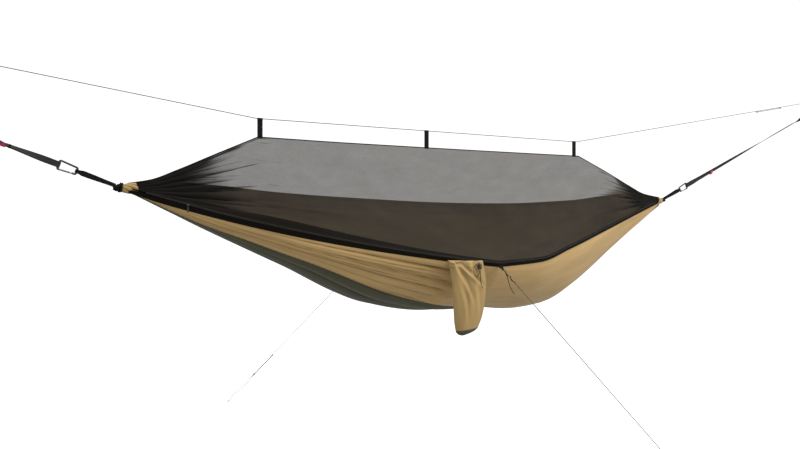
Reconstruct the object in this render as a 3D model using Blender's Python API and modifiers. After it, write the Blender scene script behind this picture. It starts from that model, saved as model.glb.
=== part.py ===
"""Camping hammock with a built-in bug net, hung between two tree straps under a ridge cord.

World frame: +X runs along the hammock from its head end to its foot end, -Y is the zipped near side, +Z is up.
The world origin is the tip of the head strap's eye. The shape is worked out in a hanging frame whose origin is
midway between the two gathered ends, and HOME carries it over.
"""

import math

import bmesh
import bpy
import numpy as np
from mathutils import Matrix, Vector

for old in list(bpy.data.objects):
    bpy.data.objects.remove(old, do_unlink=True)

# ---------------------------------------------------------------- driving dimensions, metres
HALF = 1.35  # half the distance between the two gathered ends
HOME = Vector((-1.80, 0.0, 0.163))  # tip of the head strap's eye, in the hanging frame
PANEL_END = 1.308  # the fabric panels stop here and the gathered sleeves begin
SHEET = 0.0016  # shell and net thickness
SEAM_GAP = 0.0004
HEM_R = 0.005  # rolled hem with its binding
COIL_R = 0.0025  # zip coil
RIDGE_SEAM_R = 0.0025
CORD_D = 0.0025  # ridge cord and guylines
NEAR_TIE_X, FAR_TIE_X = -0.07, 0.155  # where the guylines pull on the hems
NEAR_TIE_R = 0.528  # how far the near hem stands out there, in its tilted plane
NEAR_TILT = math.radians(31.6)  # that plane drops this much below level
NEAR_SAG = 0.063  # bow of the head half of the near hem
NEAR_SEAM, FAR_SEAM = 0.33, 0.68  # where the side panels meet the centre panel, as shares of the girth
NEAR_SEAM_HEAD = 0.16  # the near seam rides up towards the head end, where the body rolls
FULLNESS = 0.76
STRAP_W, STRAP_T = 0.020, 0.0022
RING_R = 0.0034  # rod radius of a carabiner
TAB_W = 0.020
TAB_XS = (-0.849, -0.104, 0.739)
RIDGE_Z = 0.270  # ridge cord above the gathered ends
BEND_XS = (TAB_XS[0] - TAB_W / 2 - 0.003, TAB_XS[2] + TAB_W / 2 + 0.003)  # the cord bends just outside its outer tabs
HEAD_SLOPE, FOOT_SLOPE = 0.362, 0.413  # rise of the tree straps per metre
HEAD_RISE, FOOT_RISE = 0.123, 0.179  # rise of the ridge cord per metre beyond its outer tabs
FOOT_EYE_X = 2.64

main = bpy.data.collections.new("camping_hammock")
bpy.context.scene.collection.children.link(main)


# ---------------------------------------------------------------- helpers
def at(x, y, z):
    """A point of the hanging frame in the world."""
    return Vector((x, y, z)) - HOME


def smooth_curve(stations):
    """A curve through (x, value) stations that never overshoots them."""
    xs = np.array([s[0] for s in stations], float)
    ys = np.array([s[1] for s in stations], float)
    h = np.diff(xs)
    d = np.diff(ys) / h
    m = np.zeros(len(xs))
    m[0], m[-1] = d[0], d[-1]
    for i in range(1, len(xs) - 1):
        if d[i - 1] * d[i] > 0:
            m[i] = 2 * d[i - 1] * d[i] / (d[i - 1] + d[i])

    def value(x):
        i = int(np.clip(np.searchsorted(xs, x) - 1, 0, len(xs) - 2))
        t = (x - xs[i]) / h[i]
        return float(
            (2 * t**3 - 3 * t**2 + 1) * ys[i]
            + (t**3 - 2 * t**2 + t) * h[i] * m[i]
            + (3 * t**2 - 2 * t**3) * ys[i + 1]
            + (t**3 - t**2) * h[i] * m[i + 1]
        )

    return value


def finish(name, color, rough, metal):
    mat = bpy.data.materials.get(name)
    if mat is None:
        mat = bpy.data.materials.new(name)
        mat.use_nodes = True
        shader = mat.node_tree.nodes["Principled BSDF"]
        shader.inputs["Base Color"].default_value = (*color, 1)
        shader.inputs["Roughness"].default_value = rough
        shader.inputs["Metallic"].default_value = metal
    return mat


TAN = finish("tan_nylon", (0.42, 0.30, 0.16), 0.55, 0)
OLIVE = finish("olive_nylon", (0.075, 0.08, 0.05), 0.55, 0)
NET = finish("black_net", (0.02, 0.02, 0.02), 0.8, 0)
BLACK = finish("black_webbing", (0.018, 0.018, 0.02), 0.75, 0)
GREY = finish("grey_webbing", (0.045, 0.048, 0.055), 0.75, 0)
ALLOY = finish("grey_alloy", (0.16, 0.17, 0.19), 0.35, 1)
RED = finish("red_tab", (0.45, 0.02, 0.02), 0.6, 0)
CORD = finish("grey_cord", (0.10, 0.10, 0.10), 0.7, 0)
PLASTIC = finish("black_plastic", (0.02, 0.02, 0.02), 0.45, 0)
STEEL = finish("bright_steel", (0.6, 0.6, 0.62), 0.3, 1)


def keep(obj, mat, pivot=None):
    """Puts the object in the hammock's collection, with its origin at the pivot."""
    for home in list(obj.users_collection):
        home.objects.unlink(obj)
    main.objects.link(obj)
    obj.data.materials.clear()
    obj.data.materials.append(mat)
    if pivot is not None:
        for v in obj.data.vertices:
            v.co -= pivot
        obj.location = pivot
    return obj


def tube(name, points, radius, mat, sides=2, cyclic=False):
    data = bpy.data.curves.new(name, "CURVE")
    data.dimensions = "3D"
    data.bevel_depth = radius
    data.bevel_resolution = sides
    data.use_fill_caps = not cyclic
    line = data.splines.new("POLY")
    line.points.add(len(points) - 1)
    for p, q in zip(line.points, points):
        p.co = (*q, 1)
    line.use_cyclic_u = cyclic
    obj = bpy.data.objects.new(name, data)
    main.objects.link(obj)
    data.materials.append(mat)
    return obj


def station(share):
    """Where along the hammock a station lies, for a share from -1 to 1; they stand closer together at the ends."""
    return PANEL_END * (0.35 * math.sin(0.5 * math.pi * share) + 0.65 * share)


def sheet(name, point, across, mat, along=36, rows=6):
    """A thin closed sheet over x in [-PANEL_END, PANEL_END]; point(x, v) gives the middle surface."""
    mesh = bpy.data.meshes.new(name)
    grid = bmesh.new()
    bmesh.ops.create_grid(grid, x_segments=along, y_segments=rows, size=1)
    for v in grid.verts:
        x = station(v.co.x)
        v.co = point(x, across[0] + (across[1] - across[0]) * 0.5 * (v.co.y + 1))
    grid.normal_update()
    bmesh.ops.recalc_face_normals(grid, faces=grid.faces)
    grid.to_mesh(mesh)
    grid.free()
    obj = bpy.data.objects.new(name, mesh)
    keep(obj, mat)
    shell = obj.modifiers.new("cloth", "SOLIDIFY")
    shell.thickness = SHEET
    shell.offset = 0
    mesh.shade_smooth()
    return obj


def turned(name, profile, centre, direction, mat, steps=16, ring=False):
    """A profile of (radius, height) from top to bottom, turned about a line through centre."""
    mesh = bpy.data.meshes.new(name)
    edges = [(i, i + 1) for i in range(len(profile) - 1)]
    if ring:
        edges.append((len(profile) - 1, 0))
    mesh.from_pydata([(r, 0, h) for r, h in profile], edges, [])
    obj = bpy.data.objects.new(name, mesh)
    keep(obj, mat)
    spin = obj.modifiers.new("turn", "SCREW")
    spin.axis = "Z"
    spin.steps = spin.render_steps = steps
    spin.use_merge_vertices = True
    spin.merge_threshold = 0.00001
    spin.use_smooth_shade = True
    obj.location = centre
    obj.rotation_mode = "QUATERNION"
    obj.rotation_quaternion = Vector(direction).to_track_quat("Z", "Y")
    return obj


def round_end(radius, half, count=5):
    """A (radius, height) profile of a round-ended cylinder, top to bottom."""
    cap = min(radius, half)
    out = []
    for i in range(count + 1):
        a = 0.5 * math.pi * i / count
        out.append((radius * math.sin(a), half - cap * (1 - math.cos(a))))
    return out + [(r, -h) for r, h in reversed(out)]


def racetrack(half_length, radius, count=6):
    """Outline with round ends, its long axis along local x."""
    out = []
    for side in (1, -1):
        for i in range(count + 1):
            a = side * math.pi / 2 - math.pi * i / count
            out.append((side * half_length + radius * math.cos(a), radius * math.sin(a)))
    return out


def flat_outline(name, outlines, thickness, mat, x_axis, y_axis, centre):
    """A flat piece filled between closed outlines, its plane spanned by the two axes."""
    data = bpy.data.curves.new(name, "CURVE")
    data.dimensions = "2D"
    data.fill_mode = "BOTH"
    data.extrude = thickness / 2
    for outline in outlines:
        line = data.splines.new("POLY")
        line.points.add(len(outline) - 1)
        for p, (u, v) in zip(line.points, outline):
            p.co = (u, v, 0, 1)
        line.use_cyclic_u = True
    obj = bpy.data.objects.new(name, data)
    main.objects.link(obj)
    data.materials.append(mat)
    x_axis = Vector(x_axis).normalized()
    z_axis = x_axis.cross(Vector(y_axis)).normalized()
    y_axis = z_axis.cross(x_axis)
    obj.matrix_world = Matrix(
        [(x_axis[i], y_axis[i], z_axis[i], centre[i]) for i in range(3)] + [(0, 0, 0, 1)]
    )
    return obj


def webbing_ring(name, inner_a, inner_b, bar_r, mat, width=STRAP_W, thick=STRAP_T):
    """A band of webbing looped round two bars; its width stands upright, across the line between the bars."""
    a, b = Vector(inner_a), Vector(inner_b)
    half = (b - a).length / 2
    outline = racetrack(half, bar_r + thick)
    hole = racetrack(half, bar_r)
    return flat_outline(
        name, (outline, hole), width, mat, (b - a), (0, 1, 0), (a + b) / 2
    )


def block(name, size, centre, mat, x_axis=(1, 0, 0), bevel=0.0, pivot=None):
    mesh = bpy.data.meshes.new(name)
    box = bmesh.new()
    bmesh.ops.create_cube(box, size=1)
    x_axis = Vector(x_axis).normalized()
    y_axis = Vector((0, 1, 0))
    if abs(x_axis.y) > 0.1:
        y_axis = Vector((0, 0, 1)).cross(x_axis).normalized()
    z_axis = x_axis.cross(y_axis)
    for v in box.verts:
        v.co = (
            Vector(centre)
            + x_axis * v.co.x * size[0]
            + y_axis * v.co.y * size[1]
            + z_axis * v.co.z * size[2]
        )
    box.normal_update()
    bmesh.ops.recalc_face_normals(box, faces=box.faces)
    box.to_mesh(mesh)
    box.free()
    obj = bpy.data.objects.new(name, mesh)
    keep(obj, mat, pivot)
    if bevel:
        edge = obj.modifiers.new("edges", "BEVEL")
        edge.width = bevel
        edge.segments = 2
    return obj


# ---------------------------------------------------------------- the hammock's lines
NEAR_OUT = Vector((0, -math.cos(NEAR_TILT), -math.sin(NEAR_TILT)))  # outwards in the near hem's plane
NEAR_UP = Vector((0, -math.sin(NEAR_TILT), math.cos(NEAR_TILT)))  # that plane's normal

# The head half of the near hem is an arc, so that the zip's slider runs on one circle.
arc_chord = math.hypot(NEAR_TIE_X + HALF, NEAR_TIE_R)
ARC_R = ((arc_chord / 2) ** 2 + NEAR_SAG**2) / (2 * NEAR_SAG)
chord_dir = ((NEAR_TIE_X + HALF) / arc_chord, NEAR_TIE_R / arc_chord)
ARC_X = -HALF + chord_dir[0] * arc_chord / 2 + chord_dir[1] * (ARC_R - NEAR_SAG)
ARC_OUT = chord_dir[1] * arc_chord / 2 - chord_dir[0] * (ARC_R - NEAR_SAG)

near_foot_half = smooth_curve(
    (
        (NEAR_TIE_X, NEAR_TIE_R),
        (0.15, 0.505),
        (0.364, 0.424),
        (0.728, 0.269),
        (1.0, 0.151),
        (HALF, 0.0),
    )
)
far_hem_y = smooth_curve(
    (
        (-HALF, 0.0),
        (-1.0, 0.22),
        (-0.7, 0.34),
        (-0.3, 0.44),
        (FAR_TIE_X, 0.47),
        (0.4, 0.42),
        (0.75, 0.27),
        (1.0, 0.16),
        (HALF, 0.0),
    )
)
far_hem_z = smooth_curve(
    ((-HALF, 0.0), (-1.1, 0.03), (-0.6, 0.009), (FAR_TIE_X, -0.017), (0.6, -0.024), (0.9, -0.008), (1.15, 0.024), (HALF, 0.0))
)
keel_z = smooth_curve(
    (
        (-HALF, -0.008),
        (-1.14, -0.103),
        (-0.78, -0.274),
        (-0.43, -0.42),
        (-0.2, -0.450),
        (0.0, -0.458),
        (0.3, -0.486),
        (0.43, -0.480),
        (0.58, -0.432),
        (0.91, -0.256),
        (1.09, -0.152),
        (HALF, -0.008),
    )
)
net_ridge_z = smooth_curve(
    (
        (-HALF, 0.012),
        (-1.25, 0.032),
        (-1.16, 0.071),
        (-1.02, 0.136),
        (-0.857, 0.200),
        (-0.45, 0.199),
        (0.0, 0.200),
        (0.4, 0.201),
        (0.78, 0.202),
        (0.966, 0.132),
        (1.12, 0.066),
        (1.22, 0.030),
        (HALF, 0.012),
    )
)


def near_r(x):
    if x > NEAR_TIE_X:
        return near_foot_half(x)
    return ARC_OUT + math.sqrt(ARC_R**2 - (x - ARC_X) ** 2)


def near_hem(x):
    return Vector((x, 0, 0)) + NEAR_OUT * near_r(x)


def far_hem(x):
    return Vector((x, far_hem_y(x), far_hem_z(x)))


def net_ridge(x):
    return Vector((x, 0, net_ridge_z(x)))


def zip_line(x):
    return near_hem(x) + NEAR_UP * (HEM_R + COIL_R + SEAM_GAP)


def girth(x, count=48):
    """The hanging cross-section at x from the near hem under the body to the far hem, and its running length."""
    n, f = near_hem(x), far_hem(x)
    z = (8 * keel_z(x) - n.z - f.z) / 6
    c1 = Vector((x, n.y * FULLNESS, z))
    c2 = Vector((x, f.y * FULLNESS, z))
    points = []
    for i in range(count + 1):
        t = i / count
        points.append(
            n * (1 - t) ** 3 + c1 * 3 * t * (1 - t) ** 2 + c2 * 3 * t * t * (1 - t) + f * t**3
        )
    run = [0.0]
    for a, b in zip(points, points[1:]):
        run.append(run[-1] + (b - a).length)
    return points, run


girths = {}


def shell_point(x, distance):
    """The point of the cross-section at x that is this far along it."""
    key = round(x, 6)
    if key not in girths:
        girths[key] = girth(x)
    points, run = girths[key]
    y = float(np.interp(distance, run, [p.y for p in points]))
    z = float(np.interp(distance, run, [p.z for p in points]))
    return at(x, y, z)


def girth_length(x):
    shell_point(x, 0)
    return girths[round(x, 6)][1][-1]


near_seam_share = smooth_curve(
    (
        (-HALF, NEAR_SEAM_HEAD),
        (-0.75, NEAR_SEAM_HEAD),
        (-0.35, 0.7 * NEAR_SEAM_HEAD + 0.3 * NEAR_SEAM),
        (0.0, 0.2 * NEAR_SEAM_HEAD + 0.8 * NEAR_SEAM),
        (0.25, NEAR_SEAM),
        (HALF, NEAR_SEAM),
    )
)


def far_seam_share(x):
    return FAR_SEAM


def near_rim(x):
    return 0.0


def far_rim(x):
    return 1.0


def panel(name, low, high, low_gap, high_gap, mat, rows):
    def point(x, v):
        whole = girth_length(x)
        start, end = low(x) * whole + low_gap, high(x) * whole - high_gap
        return shell_point(x, start + (end - start) * v)

    return sheet(name, point, (0, 1), mat, rows=rows)


# ---------------------------------------------------------------- fabric body
edge = HEM_R + SHEET / 2 + SEAM_GAP
panel("near_side_panel", near_rim, near_seam_share, edge, SEAM_GAP / 2, TAN, 4)
panel("centre_panel", near_seam_share, far_seam_share, SEAM_GAP / 2, SEAM_GAP / 2, OLIVE, 5)
panel("far_side_panel", far_seam_share, far_rim, SEAM_GAP / 2, edge, TAN, 4)


def stations_along(low, high, count):
    return [low + (high - low) * i / (count - 1) for i in range(count)]


def run_of(line, first=0, last=36, count=36):
    """Points of a line at the same stations as the sheets'."""
    return [line(station(2 * i / count - 1)) - HOME for i in range(first, last + 1)]


tube("near_hem_binding", run_of(near_hem), HEM_R, BLACK)
tube("far_hem_binding", run_of(far_hem), HEM_R, BLACK)
tube("zip_coil", run_of(zip_line, 1, 35), COIL_R, BLACK)
tube("net_ridge_seam", run_of(net_ridge), RIDGE_SEAM_R, BLACK)


def net_between(start, end, start_gap, end_gap, sag):
    def point(x, v):
        a, b = start(x), end(x)
        length = (b - a).length
        u = (start_gap + (length - start_gap - end_gap) * v) / length
        p = a.lerp(b, u)
        inward = Vector((0, -(b - a).z, (b - a).y)).normalized()
        if inward.z > 0:
            inward = -inward
        return p + inward * sag * length * 4 * u * (1 - u) - HOME

    return point


seam_gap = RIDGE_SEAM_R + SHEET / 2 + SEAM_GAP
sheet(
    "near_net_panel",
    net_between(zip_line, net_ridge, COIL_R + SHEET / 2 + SEAM_GAP, seam_gap, 0.03),
    (0, 1),
    NET,
    rows=4,
)
sheet(
    "far_net_panel",
    net_between(far_hem, net_ridge, HEM_R + SHEET / 2 + SEAM_GAP, seam_gap, 0.03),
    (0, 1),
    NET,
    rows=4,
)

# ---------------------------------------------------------------- gathered ends, hitches and end loops
SLEEVE_R, HITCH_R = 0.019, 0.0195
for end, side in (("head", -1), ("foot", 1)):
    sleeve = [
        (0, -0.0195),
        (0.014, -0.0195),
        (SLEEVE_R, -0.012),
        (SLEEVE_R * 0.92, 0.004),
        (0.016, 0.0145),
        (0, 0.0145),
    ]
    turned(
        end + "_end_sleeve",
        list(reversed(sleeve)),
        at(side * 1.3285, 0, -0.002),
        (side, 0, 0),
        TAN,
    )
    wrap = [
        (0, 0.014),
        (0.010, 0.014),
        (0.016, 0.0115),
        (HITCH_R, 0.006),
        (0.0178, 0.001),
        (HITCH_R, -0.005),
        (0.016, -0.0115),
        (0, -0.0138),
    ]
    turned(end + "_hitch", wrap, at(side * 1.3575, 0, 0.0), (side, 0, 0), BLACK)

# ---------------------------------------------------------------- carabiners and tree straps
RING_HALF = 0.0300  # centre to the middle of an end bar, along the pull
RING_WIDE, RING_NARROW = 0.0152, 0.0112  # half widths at the outer and inner ends
GATE_A, GATE_B = -0.0165, 0.0195  # the gate closes the lower side between these


def rounded(corners, radius, count=5):
    """A closed polygon with its corners rounded."""
    out = []
    for i, c in enumerate(corners):
        c = Vector((c[0], c[1]))
        a = (Vector(corners[i - 1]) - c).normalized()
        b = (Vector(corners[(i + 1) % len(corners)]) - c).normalized()
        turn = a.angle(b)
        back = radius / math.tan(turn / 2)
        centre = c + (a + b).normalized() * (radius / math.sin(turn / 2))
        start, end = c + a * back - centre, c + b * back - centre
        sweep = start.angle_signed(end)
        for k in range(count + 1):
            w = -sweep * k / count
            out.append(
                (
                    centre.x + start.x * math.cos(w) - start.y * math.sin(w),
                    centre.y + start.x * math.sin(w) + start.y * math.cos(w),
                )
            )
    return out


def build_end(end, side, slope, eye_x):
    """Carabiner, sewn loop, bar-tack tab, tree strap and eye, along a line that rises outwards."""
    pull = Vector((side, 0, slope)).normalized()
    up = Vector((-slope * side, 0, 1)).normalized() * 1.0
    hitch = Vector((side * HALF, 0, 0))
    scale = 1 / pull.dot(Vector((side, 0, 0)))

    def along(d, w=0.0):
        """The world point d metres out from the gathered end, measured level, and w above the line."""
        return hitch + pull * d * scale + up * w - HOME

    middle = 0.170
    # The ring's rod: out along the top, round the outer bar, and back to the gate on the lower side.
    corners = [
        (-RING_HALF, RING_NARROW),
        (RING_HALF, RING_WIDE),
        (RING_HALF, -RING_WIDE),
        (-RING_HALF, -RING_NARROW),
    ]
    outline = rounded(corners, 0.0046)
    outline = [Vector(p) for p in outline]

    def lower_side(u):
        t = (u + RING_HALF) / (2 * RING_HALF)
        return Vector((u, -(RING_NARROW + (RING_WIDE - RING_NARROW) * t)))

    inner = [p for p in outline if p.x < 0]
    outer = [p for p in outline if p.x >= 0]
    inner.sort(key=lambda p: math.atan2(p.y, -(p.x + RING_HALF - 0.0046)))
    outer.sort(key=lambda p: -math.atan2(p.y, p.x - RING_HALF + 0.0046))
    path = [lower_side(GATE_A - 0.0006)] + inner + outer + [lower_side(GATE_B + 0.0006)]
    centre = along(middle)
    points = [centre + pull * p.x + up * p.y for p in path]
    tube(end + "_carabiner_frame", points, RING_R, ALLOY, sides=3)

    a, b = lower_side(GATE_A), lower_side(GATE_B)
    hinge = centre + pull * (a.x + 0.0042) + up * lower_side(a.x + 0.0042).y
    gate_dir = (pull * (b - a).x + up * (b - a).y).normalized()
    start = centre + pull * a.x + up * a.y + gate_dir * 0.0004
    stop = centre + pull * b.x + up * b.y - gate_dir * 0.0004
    gate = tube("raw_gate", [start, start.lerp(stop, 0.5), stop], 0.0030, ALLOY, sides=3)
    graph = bpy.context.evaluated_depsgraph_get()
    mesh = bpy.data.meshes.new_from_object(gate.evaluated_get(graph))
    welded = bmesh.new()
    welded.from_mesh(mesh)
    bmesh.ops.remove_doubles(welded, verts=welded.verts, dist=0.00001)
    welded.normal_update()
    bmesh.ops.recalc_face_normals(welded, faces=welded.faces)
    welded.to_mesh(mesh)
    welded.free()
    bpy.data.objects.remove(gate, do_unlink=True)
    gate = bpy.data.objects.new(end + "_carabiner_gate", mesh)
    keep(gate, ALLOY, hinge)
    drill = turned(
        end + "_gate_drill", [(0, 0.01), (0.0013, 0.01), (0.0013, -0.01), (0, -0.01)], hinge, (0, 1, 0), ALLOY, 12
    )
    main.objects.unlink(drill)
    cutters.objects.link(drill)
    drill.hide_render = True
    drill.display_type = "WIRE"
    cut = gate.modifiers.new("rivet_hole", "BOOLEAN")
    cut.object = drill
    cut.operation = "DIFFERENCE"
    turned(
        end + "_gate_rivet",
        [(0, 0.0042), (0.0021, 0.0042), (0.0021, 0.0034), (0.0011, 0.0034), (0.0011, -0.0034), (0.0021, -0.0034), (0.0021, -0.0042), (0, -0.0042)],
        hinge,
        (0, 1, 0),
        STEEL,
        12,
    )

    # End loop: from the hitch round the ring's inner bar.
    bar = RING_R + 0.0006
    loop_w = 0.0125
    webbing_ring(
        end + "_end_loop",
        along(0.0285),
        centre - pull * RING_HALF,
        bar,
        BLACK,
        width=loop_w,
    )
    # Sewn strap loop: round the outer bar, out to the bar-tack tab.
    tab_at = 0.36 if side < 0 else 0.40
    webbing_ring(
        end + "_strap_loop", centre + pull * RING_HALF, along(tab_at - 0.012), bar, GREY
    )
    reach = (along(tab_at - 0.012) - centre).length + bar + STRAP_T
    tab_length = 0.016
    tab_centre = centre + pull * (reach + 0.0004 + tab_length / 2)
    block(end + "_bartack_tab", (tab_length, 0.0075, STRAP_W), tab_centre, RED, pull, 0.0012)
    strap_from = tab_centre + pull * (tab_length / 2 + 0.0004)
    eye_tip = along((abs(eye_x) - HALF))
    eye_r = 0.012
    eye_outer = eye_tip - pull * (eye_r + STRAP_T)
    eye_inner = eye_outer - pull * 0.020
    webbing_ring(end + "_strap_eye", eye_inner, eye_outer, eye_r, GREY)
    strap_to = eye_inner - pull * (eye_r + STRAP_T + 0.0004)
    mid = (strap_from + strap_to) / 2
    block(
        end + "_tree_strap", ((strap_to - strap_from).length, STRAP_T, STRAP_W), mid, GREY, pull
    )


cutters = bpy.data.collections.new("cutters")
bpy.context.scene.collection.children.link(cutters)
cutters.hide_render = True
build_end("head", -1, HEAD_SLOPE, -1.80)
build_end("foot", 1, FOOT_SLOPE, FOOT_EYE_X)


# ---------------------------------------------------------------- ridge cord, its loops, its adjuster and the net's tabs
def ridge_line(x):
    z = RIDGE_Z
    if x < BEND_XS[0]:
        z += HEAD_RISE * (BEND_XS[0] - x)
    if x > BEND_XS[1]:
        z += FOOT_RISE * (x - BEND_XS[1])
    return at(x, 0, z)


LOOP_HALF = 0.022
head_tip_x, foot_tip_x = -1.80, FOOT_EYE_X
ridge_from, ridge_to = head_tip_x + 2 * LOOP_HALF + 0.014, foot_tip_x - 2 * LOOP_HALF - 0.014
tube(
    "ridge_cord",
    [
        ridge_line(x)
        for x in (
            stations_along(ridge_from, BEND_XS[0], 12)
            + stations_along(*BEND_XS, 14)[1:]
            + stations_along(BEND_XS[1], ridge_to, 14)[1:]
        )
    ],
    CORD_D / 2,
    CORD,
)


def cord_ring(name, tip, direction, half_length, half_width, mat, count=20):
    """A closed loop of cord, drawn out to a point at its far tip."""
    direction = Vector(direction).normalized()
    sideways = Vector((0, 0, 1)).cross(direction)
    if sideways.length < 0.1:
        sideways = Vector((1, 0, 0))
    sideways.normalize()
    middle = Vector(tip) - direction * half_length
    points = []
    for i in range(count):
        a = 2 * math.pi * i / count
        points.append(
            middle
            + direction * half_length * math.cos(a)
            + sideways * half_width * math.sin(a)
        )
    return tube(name, points, CORD_D / 2, mat, cyclic=True)


for name, x0, x1 in (("head", ridge_from, head_tip_x), ("foot", ridge_to, foot_tip_x)):
    out = (ridge_line(x1) - ridge_line(x0)).normalized()
    knot = ridge_line(x0) + out * 0.0059
    turned("ridge_" + name + "_knot", round_end(0.0042, 0.0055), knot, out, CORD, 10)
    cord_ring(
        "ridge_" + name + "_loop",
        ridge_line(x0) + out * (0.0118 + CORD_D / 2 + 2 * LOOP_HALF),
        out,
        LOOP_HALF,
        0.009,
        CORD,
    )

run = (ridge_line(2.38) - ridge_line(2.14)).normalized()
below = Vector((run.z, 0, -run.x))
ADJ_HALF = 0.118
adjuster = [(0, ADJ_HALF), (0.0022, ADJ_HALF), (0.0034, ADJ_HALF - 0.004), (0.0034, ADJ_HALF - 0.010)]
adjuster += [(0.0016, ADJ_HALF - 0.014), (0.0016, -ADJ_HALF + 0.014)]
adjuster += [(0.0034, -ADJ_HALF + 0.010), (0.0034, -ADJ_HALF + 0.004), (0.0022, -ADJ_HALF), (0, -ADJ_HALF)]
turned(
    "ridge_adjuster",
    adjuster,
    ridge_line(2.262) + below * (CORD_D / 2 + 0.0034 + 0.0005),
    run,
    CORD,
    10,
)

TAB_IN_R, TAB_OUT_R = 0.0017, 0.0029
for name, x in zip(("head", "middle", "foot"), TAB_XS):
    top = RIDGE_Z
    bottom = net_ridge_z(x) + RIDGE_SEAM_R + 0.0006 + TAB_OUT_R
    half = (top - bottom) / 2
    hole = [
        (
            half + TAB_IN_R * math.cos(2 * math.pi * i / 12),
            TAB_IN_R * math.sin(2 * math.pi * i / 12),
        )
        for i in range(12)
    ]
    flat_outline(
        "net_tab_" + name,
        (racetrack(half, TAB_OUT_R), hole),
        TAB_W,
        BLACK,
        (0, 0, 1),
        (0, 1, 0),
        at(x, 0, (top + bottom) / 2),
    )

# ---------------------------------------------------------------- guylines
NEAR_GUY = Vector((0, -1.0, -0.676)).normalized()
FAR_END = (0.10, 3.04, -1.47)  # the far guyline comes down to its peg here
FAR_GUY = (Vector(FAR_END) - far_hem(FAR_TIE_X)).normalized()


def guy_tab(name, hem, out, half, reach):
    """A sewn loop on the hem's outer edge, with an eye for the guyline."""
    centre = hem + out * (HEM_R + 0.0006 + TAB_OUT_R + half)
    hole = [
        (
            half + TAB_IN_R * math.cos(2 * math.pi * i / 12),
            TAB_IN_R * math.sin(2 * math.pi * i / 12),
        )
        for i in range(12)
    ]
    flat_outline(
        name, (racetrack(half, TAB_OUT_R), hole), 0.012, BLACK, out, out.cross(Vector((1, 0, 0))), centre
    )
    return centre + out * (half + TAB_OUT_R + 0.0005)


NEAR_PULL_X = -0.075
near_start = guy_tab("near_guy_tab", near_hem(NEAR_PULL_X) - HOME, NEAR_GUY, 0.0055, 0)
far_start = guy_tab("far_guy_tab", far_hem(FAR_TIE_X) - HOME, FAR_GUY, 0.0055, 0)
turned("near_guyline_hitch", round_end(0.0042, 0.0060), near_start + NEAR_GUY * 0.0062, NEAR_GUY, CORD, 10)
turned("far_guyline_hitch", round_end(0.0042, 0.0060), far_start + FAR_GUY * 0.0062, FAR_GUY, CORD, 10)
near_from = near_start + NEAR_GUY * 0.0127
far_from = far_start + FAR_GUY * 0.0127


def straight(a, b, count):
    return [a.lerp(b, i / (count - 1)) for i in range(count)]


near_to = near_from + NEAR_GUY * 0.915
tube("near_guyline", straight(near_from, near_to, 12), CORD_D / 2, CORD)
turned("near_guyline_knot", round_end(0.0042, 0.0060), near_to + NEAR_GUY * 0.0065, NEAR_GUY, CORD, 10)
cord_ring(
    "near_guyline_loop",
    near_to + NEAR_GUY * (0.0130 + CORD_D / 2 + 0.050),
    NEAR_GUY,
    0.025,
    0.008,
    CORD,
)
# The tail of the near knot hangs beside the line.
tail_at = near_start + NEAR_GUY * 0.0062 + Vector((0.0060, -0.002, -0.004))
tail = smooth_curve(((0.0, 0.0), (0.025, 0.011), (0.062, 0.022), (0.090, 0.040)))
tube(
    "near_guyline_tail",
    [tail_at + Vector((tail(d), -0.10 * d, -d)) for d in stations_along(0, 0.090, 12)],
    CORD_D / 2,
    CORD,
)

far_double_from = far_from + FAR_GUY * 1.96
far_pair_from = far_double_from + FAR_GUY * 0.0140
far_pair_to = far_pair_from + FAR_GUY * 0.345
tube("far_guyline", straight(far_from, far_pair_to, 24), CORD_D / 2, CORD)
turned(
    "far_guyline_slide_knot",
    [(0.0030, 0.0065), (0.0042, 0.0040), (0.0042, -0.0040), (0.0030, -0.0065), (0.0017, -0.0065), (0.0017, 0.0065)],
    far_double_from + FAR_GUY * 0.0070,
    FAR_GUY,
    CORD,
    12,
    ring=True,
)
# The cord's second run lies under the first, from the sliding knot to the end knot.
under = Vector((0, FAR_GUY.z, -FAR_GUY.y)) * (CORD_D + 0.0004)
tube("far_guyline_doubled", straight(far_pair_from + under, far_pair_to + under, 6), CORD_D / 2, CORD)
turned("far_guyline_knot", round_end(0.0060, 0.0080), far_pair_to + FAR_GUY * 0.0085, FAR_GUY, CORD, 10)
cord_ring(
    "far_guyline_loop",
    far_pair_to + FAR_GUY * (0.0170 + CORD_D / 2 + 0.585),
    FAR_GUY,
    0.2925,
    0.012,
    CORD,
    28,
)

# ---------------------------------------------------------------- zip slider and pull
SLIDER_X = -1.15
slide_at = zip_line(SLIDER_X)
radial = Vector((SLIDER_X - ARC_X, 0, 0)) + NEAR_OUT * (near_r(SLIDER_X) - ARC_OUT)
radial.normalize()
tangent = NEAR_UP.cross(radial)
if tangent.x < 0:
    tangent = -tangent
slider_mid = slide_at + radial * (COIL_R + 0.0007 + 0.0025) - HOME


def oriented_block(name, size, centre, mat, axes, pivot=None, bevel=0.0005):
    mesh = bpy.data.meshes.new(name)
    box = bmesh.new()
    bmesh.ops.create_cube(box, size=1)
    for v in box.verts:
        v.co = Vector(centre) + sum(
            (Vector(axis) * v.co[i] * size[i] for i, axis in enumerate(axes)), Vector()
        )
    box.normal_update()
    bmesh.ops.recalc_face_normals(box, faces=box.faces)
    box.to_mesh(mesh)
    box.free()
    obj = bpy.data.objects.new(name, mesh)
    keep(obj, mat, pivot)
    edge_mod = obj.modifiers.new("edges", "BEVEL")
    edge_mod.width = bevel
    edge_mod.segments = 2
    return obj


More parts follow.
